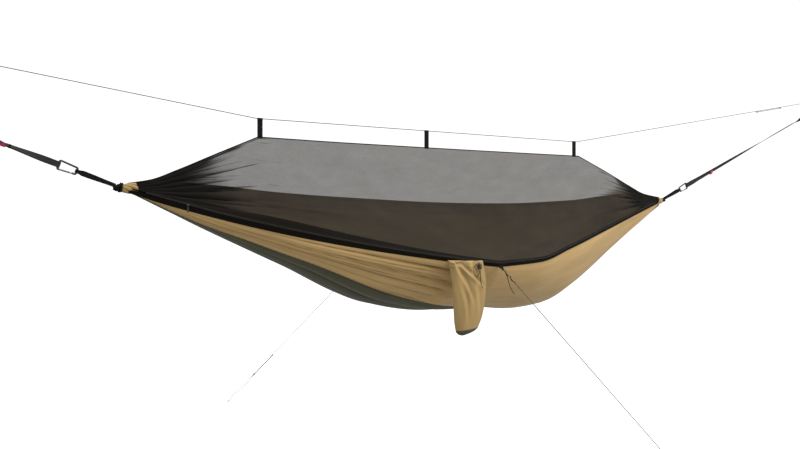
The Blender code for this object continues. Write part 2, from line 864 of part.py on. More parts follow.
arc_centre = Vector((ARC_X, 0, 0)) + NEAR_OUT * ARC_OUT - HOME
zip_slider = oriented_block(
    "zip_slider", (0.0110, 0.0050, 0.0054), slider_mid, PLASTIC, (tangent, radial, NEAR_UP), arc_centre
)
pull_hinge = slider_mid + radial * (0.0025 + 0.0012)
pull_mid = pull_hinge + Vector((0, 0, -0.0150))
side_out = tangent.cross(Vector((0, 0, 1))).normalized()
oriented_block(
    "zip_pull", (0.0060, 0.0016, 0.0260), pull_mid, PLASTIC, (tangent, side_out, tangent.cross(side_out)), pull_hinge, 0.0004
)

# ---------------------------------------------------------------- storage sack, cord lock and drawcord
SACK_X, SACK_Y = -0.238, -0.4630
SACK_TOP, SACK_LOW = -0.259, -0.522
CHANNEL = 0.022
BASE = 0.018


sack_width = smooth_curve(((0, 0.075), (0.37, 0.074), (0.62, 0.067), (0.80, 0.058), (0.90, 0.050), (1.0, 0.040)))
sack_shift = smooth_curve(((0, 0.0), (0.37, 0.0150), (0.62, 0.0130), (0.90, 0.0055), (1.0, 0.0)))  # it hangs towards the foot


def sack_loop(z):
    """Half width and half depth of the sack at height z."""
    t = (SACK_TOP - z) / (SACK_TOP - SACK_LOW)
    depth = 0.013 + 0.013 * math.sin(math.pi * min(t, 1) * 0.75)
    return sack_width(t), depth


def sack_centre(z):
    t = (SACK_TOP - z) / (SACK_TOP - SACK_LOW)
    return at(SACK_X + sack_shift(t), SACK_Y, z)


def lofted(name, levels, mat, grow=0.0, around=20, pivot=None):
    """A solid lofted through level ellipses, closed at both ends."""
    mesh = bpy.data.meshes.new(name)
    form = bmesh.new()
    rings = []
    for z, shrink in levels:
        width, depth = sack_loop(z)
        centre = sack_centre(z)
        ring = []
        for i in range(around):
            a = 2 * math.pi * i / around
            ring.append(
                form.verts.new(
                    centre
                    + Vector(
                        (
                            (width * shrink + grow) * math.cos(a),
                            (depth * shrink + grow) * math.sin(a),
                            0,
                        )
                    )
                )
            )
        rings.append(ring)
    for low, high in zip(rings, rings[1:]):
        for i in range(around):
            j = (i + 1) % around
            form.faces.new((low[i], low[j], high[j], high[i]))
    form.faces.new(rings[0])
    form.faces.new(rings[-1])
    form.normal_update()
    bmesh.ops.recalc_face_normals(form, faces=form.faces)
    form.to_mesh(mesh)
    form.free()
    obj = bpy.data.objects.new(name, mesh)
    return keep(obj, mat, pivot)


sack_hinge = at(SACK_X, -0.4456, SACK_TOP)
channel_low = SACK_TOP - CHANNEL
lofted("sack_drawcord_channel", [(SACK_TOP, 1), (channel_low, 1)], TAN, 0.0008, pivot=sack_hinge)
body_low = SACK_LOW + BASE
lofted(
    "storage_sack",
    [(channel_low - SEAM_GAP + (body_low - channel_low) * k / 9, 1) for k in range(10)],
    TAN,
    pivot=sack_hinge,
)
lofted(
    "sack_base",
    [(body_low - 2 * SEAM_GAP, 1), (body_low - 0.007, 0.93), (body_low - 0.013, 0.78), (SACK_LOW, 0.50)],
    OLIVE,
    pivot=sack_hinge,
)
block(
    "sack_hang_tab",
    (0.014, 0.0040, 0.0060),
    at(SACK_X, -0.4432, -0.2630),
    BLACK,
)

LOCK_X = SACK_X + 0.047
LOCK_LEAN = 0.105  # the drawcord leans out by this angle, over the swell of the sack
lock_mid = at(LOCK_X, SACK_Y - 0.0210, -0.2790)
lock_up = Vector((0, math.sin(LOCK_LEAN), math.cos(LOCK_LEAN)))
turned(
    "cord_lock_barrel",
    [(0.0062, 0.0085), (0.0070, 0.0075), (0.0070, -0.0070), (0.0058, -0.0085), (0.0018, -0.0085), (0.0018, -0.0010), (0.0053, -0.0010), (0.0053, 0.0085)],
    lock_mid,
    lock_up,
    PLASTIC,
    16,
    ring=True,
)
turned(
    "cord_lock_button",
    [(0.0040, 0.0120), (0.0048, 0.0112), (0.0048, 0.0035), (0.0018, 0.0035), (0.0018, 0.0120)],
    lock_mid,
    lock_up,
    PLASTIC,
    16,
    ring=True,
)
# The drawcord comes out of the channel's end, runs down through the lock and ends in a tail.
cord_top = lock_mid + lock_up * 0.0160
tube(
    "sack_drawcord",
    [cord_top - lock_up * d for d in stations_along(0, 0.095, 8)],
    0.0012,
    CORD,
)
for piece in main.objects:
    if piece.type == "MESH":
        piece.data.shade_smooth()
        piece.data.set_sharp_from_angle(angle=math.radians(40))
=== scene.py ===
"""Looks of a camping hammock with a built-in bug net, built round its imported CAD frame.

Metres, the frame's own axes. The shape is worked out in the hanging frame, whose origin lies midway between the two
gathered ends, and HOME carries it over, as the CAD source does.
"""

import math

import bmesh
import bpy
import numpy as np
from mathutils import Matrix, Vector


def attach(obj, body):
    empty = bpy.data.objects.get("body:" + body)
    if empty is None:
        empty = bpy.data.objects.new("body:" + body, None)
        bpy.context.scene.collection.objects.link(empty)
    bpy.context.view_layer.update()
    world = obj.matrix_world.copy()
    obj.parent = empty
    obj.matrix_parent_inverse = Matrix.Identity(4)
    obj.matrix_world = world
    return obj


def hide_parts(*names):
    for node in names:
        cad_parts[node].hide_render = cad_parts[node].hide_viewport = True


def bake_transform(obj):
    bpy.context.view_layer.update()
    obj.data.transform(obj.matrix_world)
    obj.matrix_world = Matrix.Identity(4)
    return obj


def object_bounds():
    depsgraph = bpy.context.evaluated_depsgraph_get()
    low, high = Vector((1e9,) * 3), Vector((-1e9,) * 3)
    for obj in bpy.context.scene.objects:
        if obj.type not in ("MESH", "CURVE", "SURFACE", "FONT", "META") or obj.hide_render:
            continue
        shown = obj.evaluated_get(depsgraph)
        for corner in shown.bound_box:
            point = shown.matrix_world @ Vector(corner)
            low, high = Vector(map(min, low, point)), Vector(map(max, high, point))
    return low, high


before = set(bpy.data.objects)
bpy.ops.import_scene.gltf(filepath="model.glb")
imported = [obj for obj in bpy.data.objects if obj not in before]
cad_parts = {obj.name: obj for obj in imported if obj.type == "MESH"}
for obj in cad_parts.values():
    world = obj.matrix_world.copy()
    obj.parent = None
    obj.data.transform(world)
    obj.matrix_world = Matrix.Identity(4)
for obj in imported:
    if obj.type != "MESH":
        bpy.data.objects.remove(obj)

cad_box = [list(map(float, corner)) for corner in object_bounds()]
scene = bpy.context.scene
group = bpy.data.collections.new("hammock_looks")
scene.collection.children.link(group)

# ---------------------------------------------------------------- the CAD's dimensions
HALF = 1.35
HOME = np.array((-1.80, 0.0, 0.163))
PANEL_END = 1.327
SHEET = 0.0016
SEAM_GAP = 0.0004
HEM_R = 0.005
COIL_R = 0.0025
RIDGE_SEAM_R = 0.0025
CORD_D = 0.0025
NEAR_TIE_X, FAR_TIE_X = -0.07, 0.155
NEAR_TIE_R = 0.528
NEAR_TILT = math.radians(31.6)
NEAR_SAG = 0.063
NEAR_SEAM, FAR_SEAM = 0.33, 0.68
NEAR_SEAM_HEAD = 0.16
FULLNESS = 0.76
STRAP_W, STRAP_T = 0.020, 0.0022
RING_R = 0.0034
RING_HALF, RING_WIDE, RING_NARROW = 0.0300, 0.0152, 0.0112
GATE_A, GATE_B = -0.0165, 0.0195
TAB_W = 0.020
TAB_XS = (-0.849, -0.104, 0.739)
RIDGE_Z = 0.270
BEND_XS = (TAB_XS[0] - TAB_W / 2 - 0.003, TAB_XS[2] + TAB_W / 2 + 0.003)
HEAD_SLOPE, FOOT_SLOPE = 0.362, 0.413
HEAD_RISE, FOOT_RISE = 0.123, 0.179
HEAD_EYE_X, FOOT_EYE_X = -1.80, 2.64


# ---------------------------------------------------------------- curves of the hammock
def smooth_curve(stations):
    """A curve through (x, value) stations that never overshoots them. It takes numbers or arrays."""
    xs = np.array([s[0] for s in stations], float)
    ys = np.array([s[1] for s in stations], float)
    h = np.diff(xs)
    d = np.diff(ys) / h
    m = np.zeros(len(xs))
    m[0], m[-1] = d[0], d[-1]
    for i in range(1, len(xs) - 1):
        if d[i - 1] * d[i] > 0:
            m[i] = 2 * d[i - 1] * d[i] / (d[i - 1] + d[i])

    def value(x):
        x = np.asarray(x, float)
        i = np.clip(np.searchsorted(xs, x) - 1, 0, len(xs) - 2)
        t = (x - xs[i]) / h[i]
        return (
            (2 * t**3 - 3 * t**2 + 1) * ys[i]
            + (t**3 - 2 * t**2 + t) * h[i] * m[i]
            + (3 * t**2 - 2 * t**3) * ys[i + 1]
            + (t**3 - t**2) * h[i] * m[i + 1]
        )

    return value


def ramp(x, start, end):
    """0 before start, 1 after end, and smooth between them; start may be the larger."""
    t = np.clip((np.asarray(x, float) - start) / (end - start), 0, 1)
    return t * t * (3 - 2 * t)


NEAR_OUT = np.array((0, -math.cos(NEAR_TILT), -math.sin(NEAR_TILT)))
NEAR_UP = np.array((0, -math.sin(NEAR_TILT), math.cos(NEAR_TILT)))
arc_chord = math.hypot(NEAR_TIE_X + HALF, NEAR_TIE_R)
ARC_R = ((arc_chord / 2) ** 2 + NEAR_SAG**2) / (2 * NEAR_SAG)
chord_dir = ((NEAR_TIE_X + HALF) / arc_chord, NEAR_TIE_R / arc_chord)
ARC_X = -HALF + chord_dir[0] * arc_chord / 2 + chord_dir[1] * (ARC_R - NEAR_SAG)
ARC_OUT = chord_dir[1] * arc_chord / 2 - chord_dir[0] * (ARC_R - NEAR_SAG)

near_foot_half = smooth_curve(
    ((NEAR_TIE_X, NEAR_TIE_R), (0.15, 0.505), (0.364, 0.424), (0.728, 0.269), (1.0, 0.151), (HALF, 0.0))
)
far_hem_y = smooth_curve(
    ((-HALF, 0.0), (-1.0, 0.22), (-0.7, 0.34), (-0.3, 0.44), (FAR_TIE_X, 0.47), (0.4, 0.42), (0.75, 0.27), (1.0, 0.16), (HALF, 0.0))
)
far_hem_z = smooth_curve(
    ((-HALF, 0.0), (-1.1, 0.03), (-0.6, 0.009), (FAR_TIE_X, -0.017), (0.6, -0.024), (0.9, -0.008), (1.15, 0.024), (HALF, 0.0))
)
keel_z = smooth_curve(
    (
        (-HALF, -0.008),
        (-1.14, -0.103),
        (-0.78, -0.274),
        (-0.43, -0.42),
        (-0.2, -0.450),
        (0.0, -0.458),
        (0.3, -0.486),
        (0.43, -0.480),
        (0.58, -0.432),
        (0.91, -0.256),
        (1.09, -0.152),
        (HALF, -0.008),
    )
)
RIDGE_CORNERS = (-0.857, 0.768)
ridge_head = smooth_curve(((-HALF, 0.012), (-1.25, 0.030), (-1.16, 0.066), (-1.02, 0.129), (RIDGE_CORNERS[0], 0.201)))
ridge_middle = smooth_curve(((RIDGE_CORNERS[0], 0.201), (-0.45, 0.1985), (0.0, 0.1990), (0.4, 0.2005), (RIDGE_CORNERS[1], 0.2025)))
ridge_foot = smooth_curve(((RIDGE_CORNERS[1], 0.2025), (0.966, 0.128), (1.12, 0.066), (1.22, 0.030), (HALF, 0.012)))


def net_ridge_z(x):
    """The net's top line, with corners where the outer tabs hold it up."""
    x = np.asarray(x, float)
    return np.where(x < RIDGE_CORNERS[0], ridge_head(x), np.where(x < RIDGE_CORNERS[1], ridge_middle(x), ridge_foot(x)))


near_seam_share = smooth_curve(
    (
        (-HALF, NEAR_SEAM_HEAD),
        (-0.75, NEAR_SEAM_HEAD),
        (-0.35, 0.7 * NEAR_SEAM_HEAD + 0.3 * NEAR_SEAM),
        (0.0, 0.2 * NEAR_SEAM_HEAD + 0.8 * NEAR_SEAM),
        (0.25, NEAR_SEAM),
        (HALF, NEAR_SEAM),
    )
)


def near_r(x):
    x = np.asarray(x, float)
    arc = ARC_OUT + np.sqrt(np.maximum(ARC_R**2 - (np.minimum(x, NEAR_TIE_X) - ARC_X) ** 2, 0))
    return np.where(x > NEAR_TIE_X, near_foot_half(np.maximum(x, NEAR_TIE_X)), arc)


def points_at(x, y, z):
    x = np.asarray(x, float)
    return np.stack([x, np.broadcast_to(y, x.shape), np.broadcast_to(z, x.shape)], -1)


def near_hem(x):
    r = near_r(x)
    return points_at(x, NEAR_OUT[1] * r, NEAR_OUT[2] * r)


def far_hem(x):
    return points_at(x, far_hem_y(x), far_hem_z(x))


def net_ridge(x):
    return points_at(x, 0.0, net_ridge_z(x))


def zip_line(x):
    return near_hem(x) + NEAR_UP * (HEM_R + COIL_R + SEAM_GAP)


def ridge_line(x):
    x = np.asarray(x, float)
    z = RIDGE_Z + HEAD_RISE * np.maximum(BEND_XS[0] - x, 0) + FOOT_RISE * np.maximum(x - BEND_XS[1], 0)
    return points_at(x, 0.0, z)


def station(share):
    share = np.asarray(share, float)
    return PANEL_END * (0.35 * np.sin(0.5 * np.pi * share) + 0.65 * share)


def girth(x, count=400):
    """The hanging cross-section at x: its points from the near hem to the far hem, and its running length."""
    n, f = near_hem(x), far_hem(x)
    z = (8 * float(keel_z(x)) - n[2] - f[2]) / 6
    c1 = np.array((x, n[1] * FULLNESS, z))
    c2 = np.array((x, f[1] * FULLNESS, z))
    t = np.linspace(0, 1, count + 1)[:, None]
    points = n * (1 - t) ** 3 + c1 * 3 * t * (1 - t) ** 2 + c2 * 3 * t * t * (1 - t) + f * t**3
    run = np.concatenate([[0], np.cumsum(np.linalg.norm(np.diff(points, axis=0), axis=1))])
    return points, run


def unit(v):
    v = np.asarray(v, float)
    return v / np.maximum(np.linalg.norm(v, axis=-1, keepdims=True), 1e-12)


def smooth_noise(u, v, seed, scale, stretch=1.0, waves=9):
    """A smooth field from about -1 to 1 over metres u and v, the same on every run."""
    random = np.random.RandomState(seed)
    total = np.zeros(np.broadcast(u, v).shape)
    for _ in range(waves):
        angle = random.uniform(0, 2 * math.pi)
        size = random.uniform(0.6, 1.6) * 2 * math.pi / scale
        total += np.sin(
            u * size * math.cos(angle) / stretch + v * size * math.sin(angle) + random.uniform(0, 2 * math.pi)
        )
    return total / math.sqrt(waves)


def ridges(t, narrow=0.62):
    """Rounded folds with narrow valleys between them, one for each unit of t, from 0 to 1."""
    return np.abs(np.sin(np.pi * t)) ** narrow


# ---------------------------------------------------------------- meshes
def piece(name, verts, faces, uv, mats, body=None, stands_for=(), slot=None, slots=None, attributes=None, recalc=False, world=False):
    """A mesh piece from arrays; uv holds one pair for each face corner, in metres. Points are in the hanging frame."""
    verts = np.asarray(verts, float)
    mesh = bpy.data.meshes.new(name)
    mesh.from_pydata((verts if world else verts - HOME).tolist(), [], faces)
    if uv is not None:
        layer = mesh.uv_layers.new(name="cloth")
        layer.data.foreach_set("uv", np.asarray(uv, np.float32).reshape(-1))
    for key, values in (attributes or {}).items():
        mesh.attributes.new(key, "FLOAT", "POINT").data.foreach_set("value", np.asarray(values, np.float32).reshape(-1))
    for mat in mats:
        mesh.materials.append(mat)
    if slots is not None:
        mesh.polygons.foreach_set("material_index", np.asarray(slots, np.int32))
    if recalc:
        form = bmesh.new()
        form.from_mesh(mesh)
        bmesh.ops.recalc_face_normals(form, faces=form.faces)
        form.to_mesh(mesh)
        form.free()
    mesh.shade_smooth()
    mesh.set_sharp_from_angle(angle=math.radians(50))
    obj = bpy.data.objects.new(name, mesh)
    group.objects.link(obj)
    if body:
        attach(obj, body)
    if stands_for:
        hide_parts(*stands_for)
    return obj


def grid_faces(n, m, start=0):
    index = np.arange(n * m).reshape(n, m) + start
    return np.stack([index[:-1, :-1], index[1:, :-1], index[1:, 1:], index[:-1, 1:]], -1).reshape(-1, 4)


def normals_of(grid):
    return unit(np.cross(np.gradient(grid, axis=0), np.gradient(grid, axis=1)))


def cloth(name, grid, uv, edge, thick, mats, fold=None, **rest):
    """A closed thin sheet round a grid of points, whose first material faces out and whose second faces in."""
    n, m = grid.shape[:2]
    normal = normals_of(grid)
    outer, inner = grid + normal * thick / 2, grid - normal * thick / 2
    verts = np.concatenate([outer.reshape(-1, 3), inner.reshape(-1, 3)])
    top = grid_faces(n, m)
    low = grid_faces(n, m, n * m)[:, ::-1]
    index = np.arange(n * m).reshape(n, m)
    rim = []
    for line, turn in ((index[:, 0], False), (index[:, -1], True), (index[0, :], True), (index[-1, :], False)):
        a, b = line[:-1], line[1:]
        quad = np.stack([b, a, a + n * m, b + n * m], -1)
        rim.append(quad[:, ::-1] if turn else quad)
    faces = np.concatenate([top, low] + rim)
    slots = np.concatenate([np.zeros(len(top)), np.ones(len(low)), np.zeros(len(faces) - len(top) - len(low))])
    flat = np.concatenate([uv.reshape(-1, 2)] * 2)
    return piece(
        name,
        verts,
        faces.tolist(),
        flat[faces.reshape(-1)],
        mats,
        slots=slots,
        attributes={
            "edge": np.concatenate([edge.reshape(-1)] * 2),
            "fold": np.concatenate([(edge * 0 if fold is None else fold).reshape(-1)] * 2),
        },
        **rest,
    )


def single(name, grid, uv, attributes, mats, **rest):
    """An open sheet of one surface."""
    n, m = grid.shape[:2]
    faces = grid_faces(n, m)
    return piece(
        name,
        grid.reshape(-1, 3),
        faces.tolist(),
        uv.reshape(-1, 2)[faces.reshape(-1)],
        mats,
        attributes={k: v.reshape(-1) for k, v in attributes.items()},
        **rest,
    )


def skin(name, rings, mats, closed=False, caps=True, u=None, v=None, **rest):
    """A tube through rings of points, an (n, k, 3) array. u runs along it in metres and v round it in metres or turns."""
    rings = np.asarray(rings, float)
    n, k = rings.shape[:2]
    verts = rings.reshape(-1, 3)
    if u is None:
        middle = rings.mean(axis=1)
        u = np.concatenate([[0], np.cumsum(np.linalg.norm(np.diff(middle, axis=0), axis=1))])
        u = np.append(u, u[-1] + np.linalg.norm(middle[0] - middle[-1]))
    if v is None:
        v = np.linspace(0, 1, k + 1)
    faces, uv = [], []
    for i in range(n if closed else n - 1):
        j = (i + 1) % n
        for a in range(k):
            b = (a + 1) % k
            faces.append([i * k + a, j * k + a, j * k + b, i * k + b])
            uv += [(u[i], v[a]), (u[i + 1], v[a]), (u[i + 1], v[a + 1]), (u[i], v[a + 1])]
    if caps and not closed:
        extra = [rings[0].mean(axis=0), rings[-1].mean(axis=0)]
        verts = np.concatenate([verts, extra])
        for a in range(k):
            b = (a + 1) % k
            faces.append([n * k, a, b])
            faces.append([n * k + 1, (n - 1) * k + b, (n - 1) * k + a])
            uv += [(u[0], v[a])] * 3 + [(u[n - 1], v[a])] * 3
    return piece(name, verts, faces, uv, mats, recalc=True, **rest)


def frames_along(points, closed=False, lean=(0, 0, 1)):
    """Tangent, side and up at each point of a line, without sudden turns."""
    p = np.asarray(points, float)
    if closed:
        tangent = unit(np.roll(p, -1, axis=0) - np.roll(p, 1, axis=0))
    else:
        tangent = unit(np.gradient(p, axis=0))
    side = np.zeros_like(p)
    start = np.cross(np.array(lean, float), tangent[0])
    if np.linalg.norm(start) < 1e-3:
        start = np.cross((1.0, 0, 0), tangent[0])
    side[0] = unit(start)
    for i in range(1, len(p)):
        s = side[i - 1] - tangent[i] * side[i - 1].dot(tangent[i])
        side[i] = unit(s)
    return tangent, side, np.cross(tangent, side)


def tube(name, points, radius, mats, sides=12, closed=False, flat=1.0, **rest):
    """A round tube along points; radius is one number or one for each point, and flat narrows it across."""
    points = np.asarray(points, float)
    tangent, side, up = frames_along(points, closed)
    r = np.broadcast_to(np.asarray(radius, float), (len(points),))[:, None, None]
    a = np.linspace(0, 2 * np.pi, sides, endpoint=False)[None, :, None]
    rings = points[:, None] + r * (np.cos(a) * side[:, None] * flat + np.sin(a) * up[:, None])
    return skin(name, rings, mats, closed=closed, **rest)


def ribbon(name, path, wide, width, thick, mats, closed=False, **rest):
    """Flat webbing along a path. wide is the direction of its width, one vector or one for each point."""
    path = np.asarray(path, float)
    wide = unit(np.broadcast_to(np.asarray(wide, float), path.shape))
    width = np.broadcast_to(np.asarray(width, float), (len(path),))[:, None]
    if closed:
        tangent = unit(np.roll(path, -1, axis=0) - np.roll(path, 1, axis=0))
    else:
        tangent = unit(np.gradient(path, axis=0))
    out = unit(np.cross(tangent, wide))
    wide = np.cross(out, tangent)
    # Woven edges are a little thicker than the middle, with a rounded lip.
    section = (
        (0.5, 0.0),
        (0.5 - 0.018, 0.5),
        (0.5 - 0.09, 0.56),
        (0.5 - 0.16, 0.46),
        (0.0, 0.46),
        (-0.5 + 0.16, 0.46),
        (-0.5 + 0.09, 0.56),
        (-0.5 + 0.018, 0.5),
        (-0.5, 0.0),
        (-0.5 + 0.018, -0.5),
        (-0.5 + 0.09, -0.56),
        (-0.5 + 0.16, -0.46),
        (0.0, -0.46),
        (0.5 - 0.16, -0.46),
        (0.5 - 0.09, -0.56),
        (0.5 - 0.018, -0.5),
    )
    rings = np.stack([path + wide * width * s + out * thick * t for s, t in section], axis=1)
    w = float(width.mean())
    v = [w * (0.5 - s) for s, _ in section] + [0.0]
    return skin(name, rings, mats, closed=closed, v=v, **rest)


def turned(name, profile, centre, direction, mats, steps=48, ring=False, ripple=None, **rest):
    """A profile of (radius, height) turned about a line through centre, in the hanging frame."""
    axis = unit(np.array(direction, float))
    side = np.cross((0, 1.0, 0), axis)
    if np.linalg.norm(side) < 1e-3:
        side = np.cross((1.0, 0, 0), axis)
    side = unit(side)
    other = np.cross(axis, side)
    a = np.linspace(0, 2 * np.pi, steps, endpoint=False)
    rings = []
    for r, h in profile:
        rr = np.full(steps, max(r, 1e-5))
        if ripple is not None:
            rr = rr * ripple(a, h)
        rings.append(
            np.array(centre) + axis * h + rr[:, None] * (np.cos(a)[:, None] * side + np.sin(a)[:, None] * other)
        )
    return skin(name, np.array(rings), mats, closed=ring, caps=not ring, **rest)


def racetrack_path(a, b, radius, across, count=14):
    """A closed path round two bars at a and b, whose line and across span its plane."""
    a, b, across = (np.array(p, float) for p in (a, b, across))
    along = unit(b - a)
    across = unit(across - along * across.dot(along))
    points = []
    length = np.linalg.norm(b - a)
    straight = max(int(length / 0.006), 4)
    for centre, sign in ((b, 1), (a, -1)):
        for i in range(count + 1):
            w = math.pi * (i / count - 0.5)
            points.append(centre + sign * radius * (math.cos(w) * along + math.sin(w) * across))
        start = centre + sign * radius * across
        other = a if sign == 1 else b
        end = other + sign * radius * across
        for i in range(1, straight):
            points.append(start + (end - start) * i / straight)
    return np.array(points)


# ---------------------------------------------------------------- materials
class Paint:
    """A node material being wired up."""

    def __init__(self, name):
        self.mat = bpy.data.materials.new(name)
        self.mat.use_nodes = True
        self.tree = self.mat.node_tree
        self.tree.nodes.clear()
        self.out = self.add("ShaderNodeOutputMaterial")
        self.shader = self.add("ShaderNodeBsdfPrincipled")
        self.tree.links.new(self.shader.outputs[0], self.out.inputs["Surface"])

    def add(self, kind, **settings):
        node = self.tree.nodes.new(kind)
        for key, value in settings.items():
            setattr(node, key, value)
        return node

    def feed(self, socket, value):
        if isinstance(value, bpy.types.NodeSocket):
            self.tree.links.new(value, socket)
        elif value is not None:
            socket.default_value = value

    def sum(self, operation, a, b=None, c=None, clamp=False):
        node = self.add("ShaderNodeMath", operation=operation, use_clamp=clamp)
        for socket, value in zip(node.inputs, (a, b, c)):
            self.feed(socket, value)
        return node.outputs[0]

    def uv(self):
        at = self.add("ShaderNodeUVMap", uv_map="cloth")
        split = self.add("ShaderNodeSeparateXYZ")
        self.feed(split.inputs[0], at.outputs[0])
        return at.outputs[0], split.outputs[0], split.outputs[1]

    def noise(self, vector, scale, detail=3.0, rough=0.5):
        node = self.add("ShaderNodeTexNoise", noise_dimensions="3D")
        self.feed(node.inputs["Vector"], vector)
        node.inputs["Scale"].default_value = scale
        node.inputs["Detail"].default_value = detail
        node.inputs["Roughness"].default_value = rough
        return node.outputs["Fac"]

    def stretched(self, vector, scale):
        node = self.add("ShaderNodeMapping")
        self.feed(node.inputs["Vector"], vector)
        node.inputs["Scale"].default_value = scale
        return node.outputs[0]

    def span(self, value, low, high, to_low, to_high):
        node = self.add("ShaderNodeMapRange", clamp=True)
        for socket, v in zip(node.inputs, (value, low, high, to_low, to_high)):
            self.feed(socket, v)
        return node.outputs[0]

    def mix(self, factor, a, b):
        node = self.add("ShaderNodeMix", data_type="RGBA")
        self.feed(node.inputs[0], factor)
        self.feed(node.inputs[6], (*a, 1) if isinstance(a, tuple) else a)
        self.feed(node.inputs[7], (*b, 1) if isinstance(b, tuple) else b)
        return node.outputs[2]

    def attribute(self, name):
        return self.add("ShaderNodeAttribute", attribute_name=name).outputs["Fac"]

    def bump(self, height, distance, strength=1.0, under=None):
        node = self.add("ShaderNodeBump")
        node.inputs["Strength"].default_value = strength
        node.inputs["Distance"].default_value = distance
        self.feed(node.inputs["Height"], height)
        if under is not None:
            self.feed(node.inputs["Normal"], under)
        return node.outputs[0]

    def done(self, colour, rough, normal=None, **constant):
        self.feed(self.shader.inputs["Base Color"], colour)
        self.feed(self.shader.inputs["Roughness"], rough)
        if normal is not None:
            self.feed(self.shader.inputs["Normal"], normal)
        for key, value in constant.items():
            self.shader.inputs[key.replace("_", " ")].default_value = value
        return self.mat


def shade(colour, by):
    return tuple(c * by for c in colour)


def nylon(name, colour, dark, light, rough, sheen, thread, crinkle=0.0011, edge_shade_band=0.0):
    """Plain-woven hammock nylon: a fine weave, drawn creases that run along the cloth, and stitched, felled seams."""
    p = Paint(name)
    at, u, v = p.uv()
    along = p.stretched(at, (2.2, 17.0, 1.0))
    drawn = p.noise(along, 1.0, 4.0, 0.55)
    cloudy = p.noise(at, 5.5, 3.0)
    tone = p.mix(p.span(drawn, 0.33, 0.68, 0.0, 1.0), dark, light)
    tone = p.mix(p.span(cloudy, 0.3, 0.72, 0.0, 0.55), tone, colour)
    warp = p.sum("SINE", p.sum("MULTIPLY", u, 2 * math.pi / 0.0009))
    weft = p.sum("SINE", p.sum("MULTIPLY", v, 2 * math.pi / 0.0009))
    weave = p.sum("MULTIPLY", warp, weft)
    slub = p.noise(p.stretched(at, (40.0, 900.0, 1.0)), 1.0, 2.0)
    tone = p.mix(p.span(slub, 0.35, 0.75, 0.0, 0.16), tone, shade(dark, 0.8))
    # Two rows of stitches run beside each seam, on the folded allowance.
    edge = p.attribute("edge")
    allowance = p.span(edge, 0.0085, 0.0095, 1.0, 0.0)
    row = p.sum(
        "MAXIMUM",
        p.sum("COMPARE", edge, 0.0022, 0.0005),
        p.sum("COMPARE", edge, 0.0072, 0.0005),
    )
    dash = p.sum("LESS_THAN", p.sum("FRACT", p.sum("DIVIDE", u, 0.0036)), 0.68)
    stitch = p.sum("MULTIPLY", row, dash)
    tone = p.mix(p.sum("MULTIPLY", allowance, 0.35), tone, shade(dark, 0.82))
    tone = p.mix(stitch, tone, thread)
    # Painted shade: the bottoms of the folds are painted darker than their crowns.
    tone = p.mix(p.sum("MULTIPLY", p.attribute("fold"), 0.95, clamp=True), tone, shade(dark, 0.30))
    if edge_shade_band:
        # Painted shade: a broad band along the cloth's edges, the hem among them, is painted near-black.
        tone = p.mix(p.span(edge, edge_shade_band, edge_shade_band * 1.25, 0.85, 0.0), tone, (0.010, 0.009, 0.008))
    fine = p.noise(p.stretched(at, (14.0, 60.0, 1.0)), 1.0, 4.0, 0.6)
    soft = p.noise(p.stretched(at, (6.0, 30.0, 1.0)), 1.0, 3.0, 0.5)
    normal = p.bump(soft, crinkle * 2.2, 0.55)
    normal = p.bump(fine, crinkle, 0.5, normal)
    normal = p.bump(weave, 0.00008, 0.35, normal)
    normal = p.bump(p.sum("SUBTRACT", p.sum("MULTIPLY", allowance, 1.0), p.sum("MULTIPLY", stitch, 0.8)), 0.0007, 0.7, normal)
    gloss = p.sum("ADD", p.span(fine, 0.3, 0.7, rough - 0.06, rough + 0.08), p.sum("MULTIPLY", weave, 0.02))
    return p.done(tone, gloss, normal, Sheen_Weight=sheen, Sheen_Roughness=0.45, Specular_IOR_Level=0.18)


def netting(name, colour, open_share):
    """Fine bug netting: its holes let light through, and gathered folds let less through."""
    p = Paint(name)
    at, u, v = p.uv()
    gather = p.attribute("gather")
    a = p.sum("SINE", p.sum("MULTIPLY", p.sum("ADD", u, v), 2 * math.pi / 0.0015))
    b = p.sum("SINE", p.sum("MULTIPLY", p.sum("SUBTRACT", u, v), 2 * math.pi / 0.0015))
    holes = p.sum("MULTIPLY", a, b)
    cloudy = p.noise(p.stretched(at, (9.0, 11.0, 1.0)), 1.0, 4.0, 0.6)
    broad = p.noise(p.stretched(at, (2.2, 6.0, 1.0)), 1.0, 3.0, 0.5)
    speck = p.noise(at, 210.0, 2.0, 0.6)
    cover = p.sum("ADD", p.span(cloudy, 0.28, 0.72, 1 - open_share - 0.035, 1 - open_share + 0.035), p.sum("MULTIPLY", holes, -0.05))
    cover = p.sum("ADD", cover, p.span(speck, 0.3, 0.7, 0.05, -0.05))
    cover = p.sum("MAXIMUM", cover, p.sum("MULTIPLY", gather, 1.0), clamp=True)
    p.feed(p.shader.inputs["Alpha"], cover)
    tone = p.mix(p.span(cloudy, 0.3, 0.7, 0.0, 1.0), shade(colour, 0.85), shade(colour, 1.18))
    tone = p.mix(p.span(broad, 0.40, 0.66, 0.0, 0.5), tone, shade(colour, 0.55))
    # Bunched folds shade themselves.
    tone = p.mix(p.span(gather, 0.45, 0.88, 0.0, 1.0), tone, shade(colour, 0.10))
    normal = p.bump(holes, 0.0002, 0.12)
    rough = p.span(cloudy, 0.3, 0.7, 0.72, 0.9)
    return p.done(tone, rough, normal, Sheen_Weight=0.0, Specular_IOR_Level=0.08)


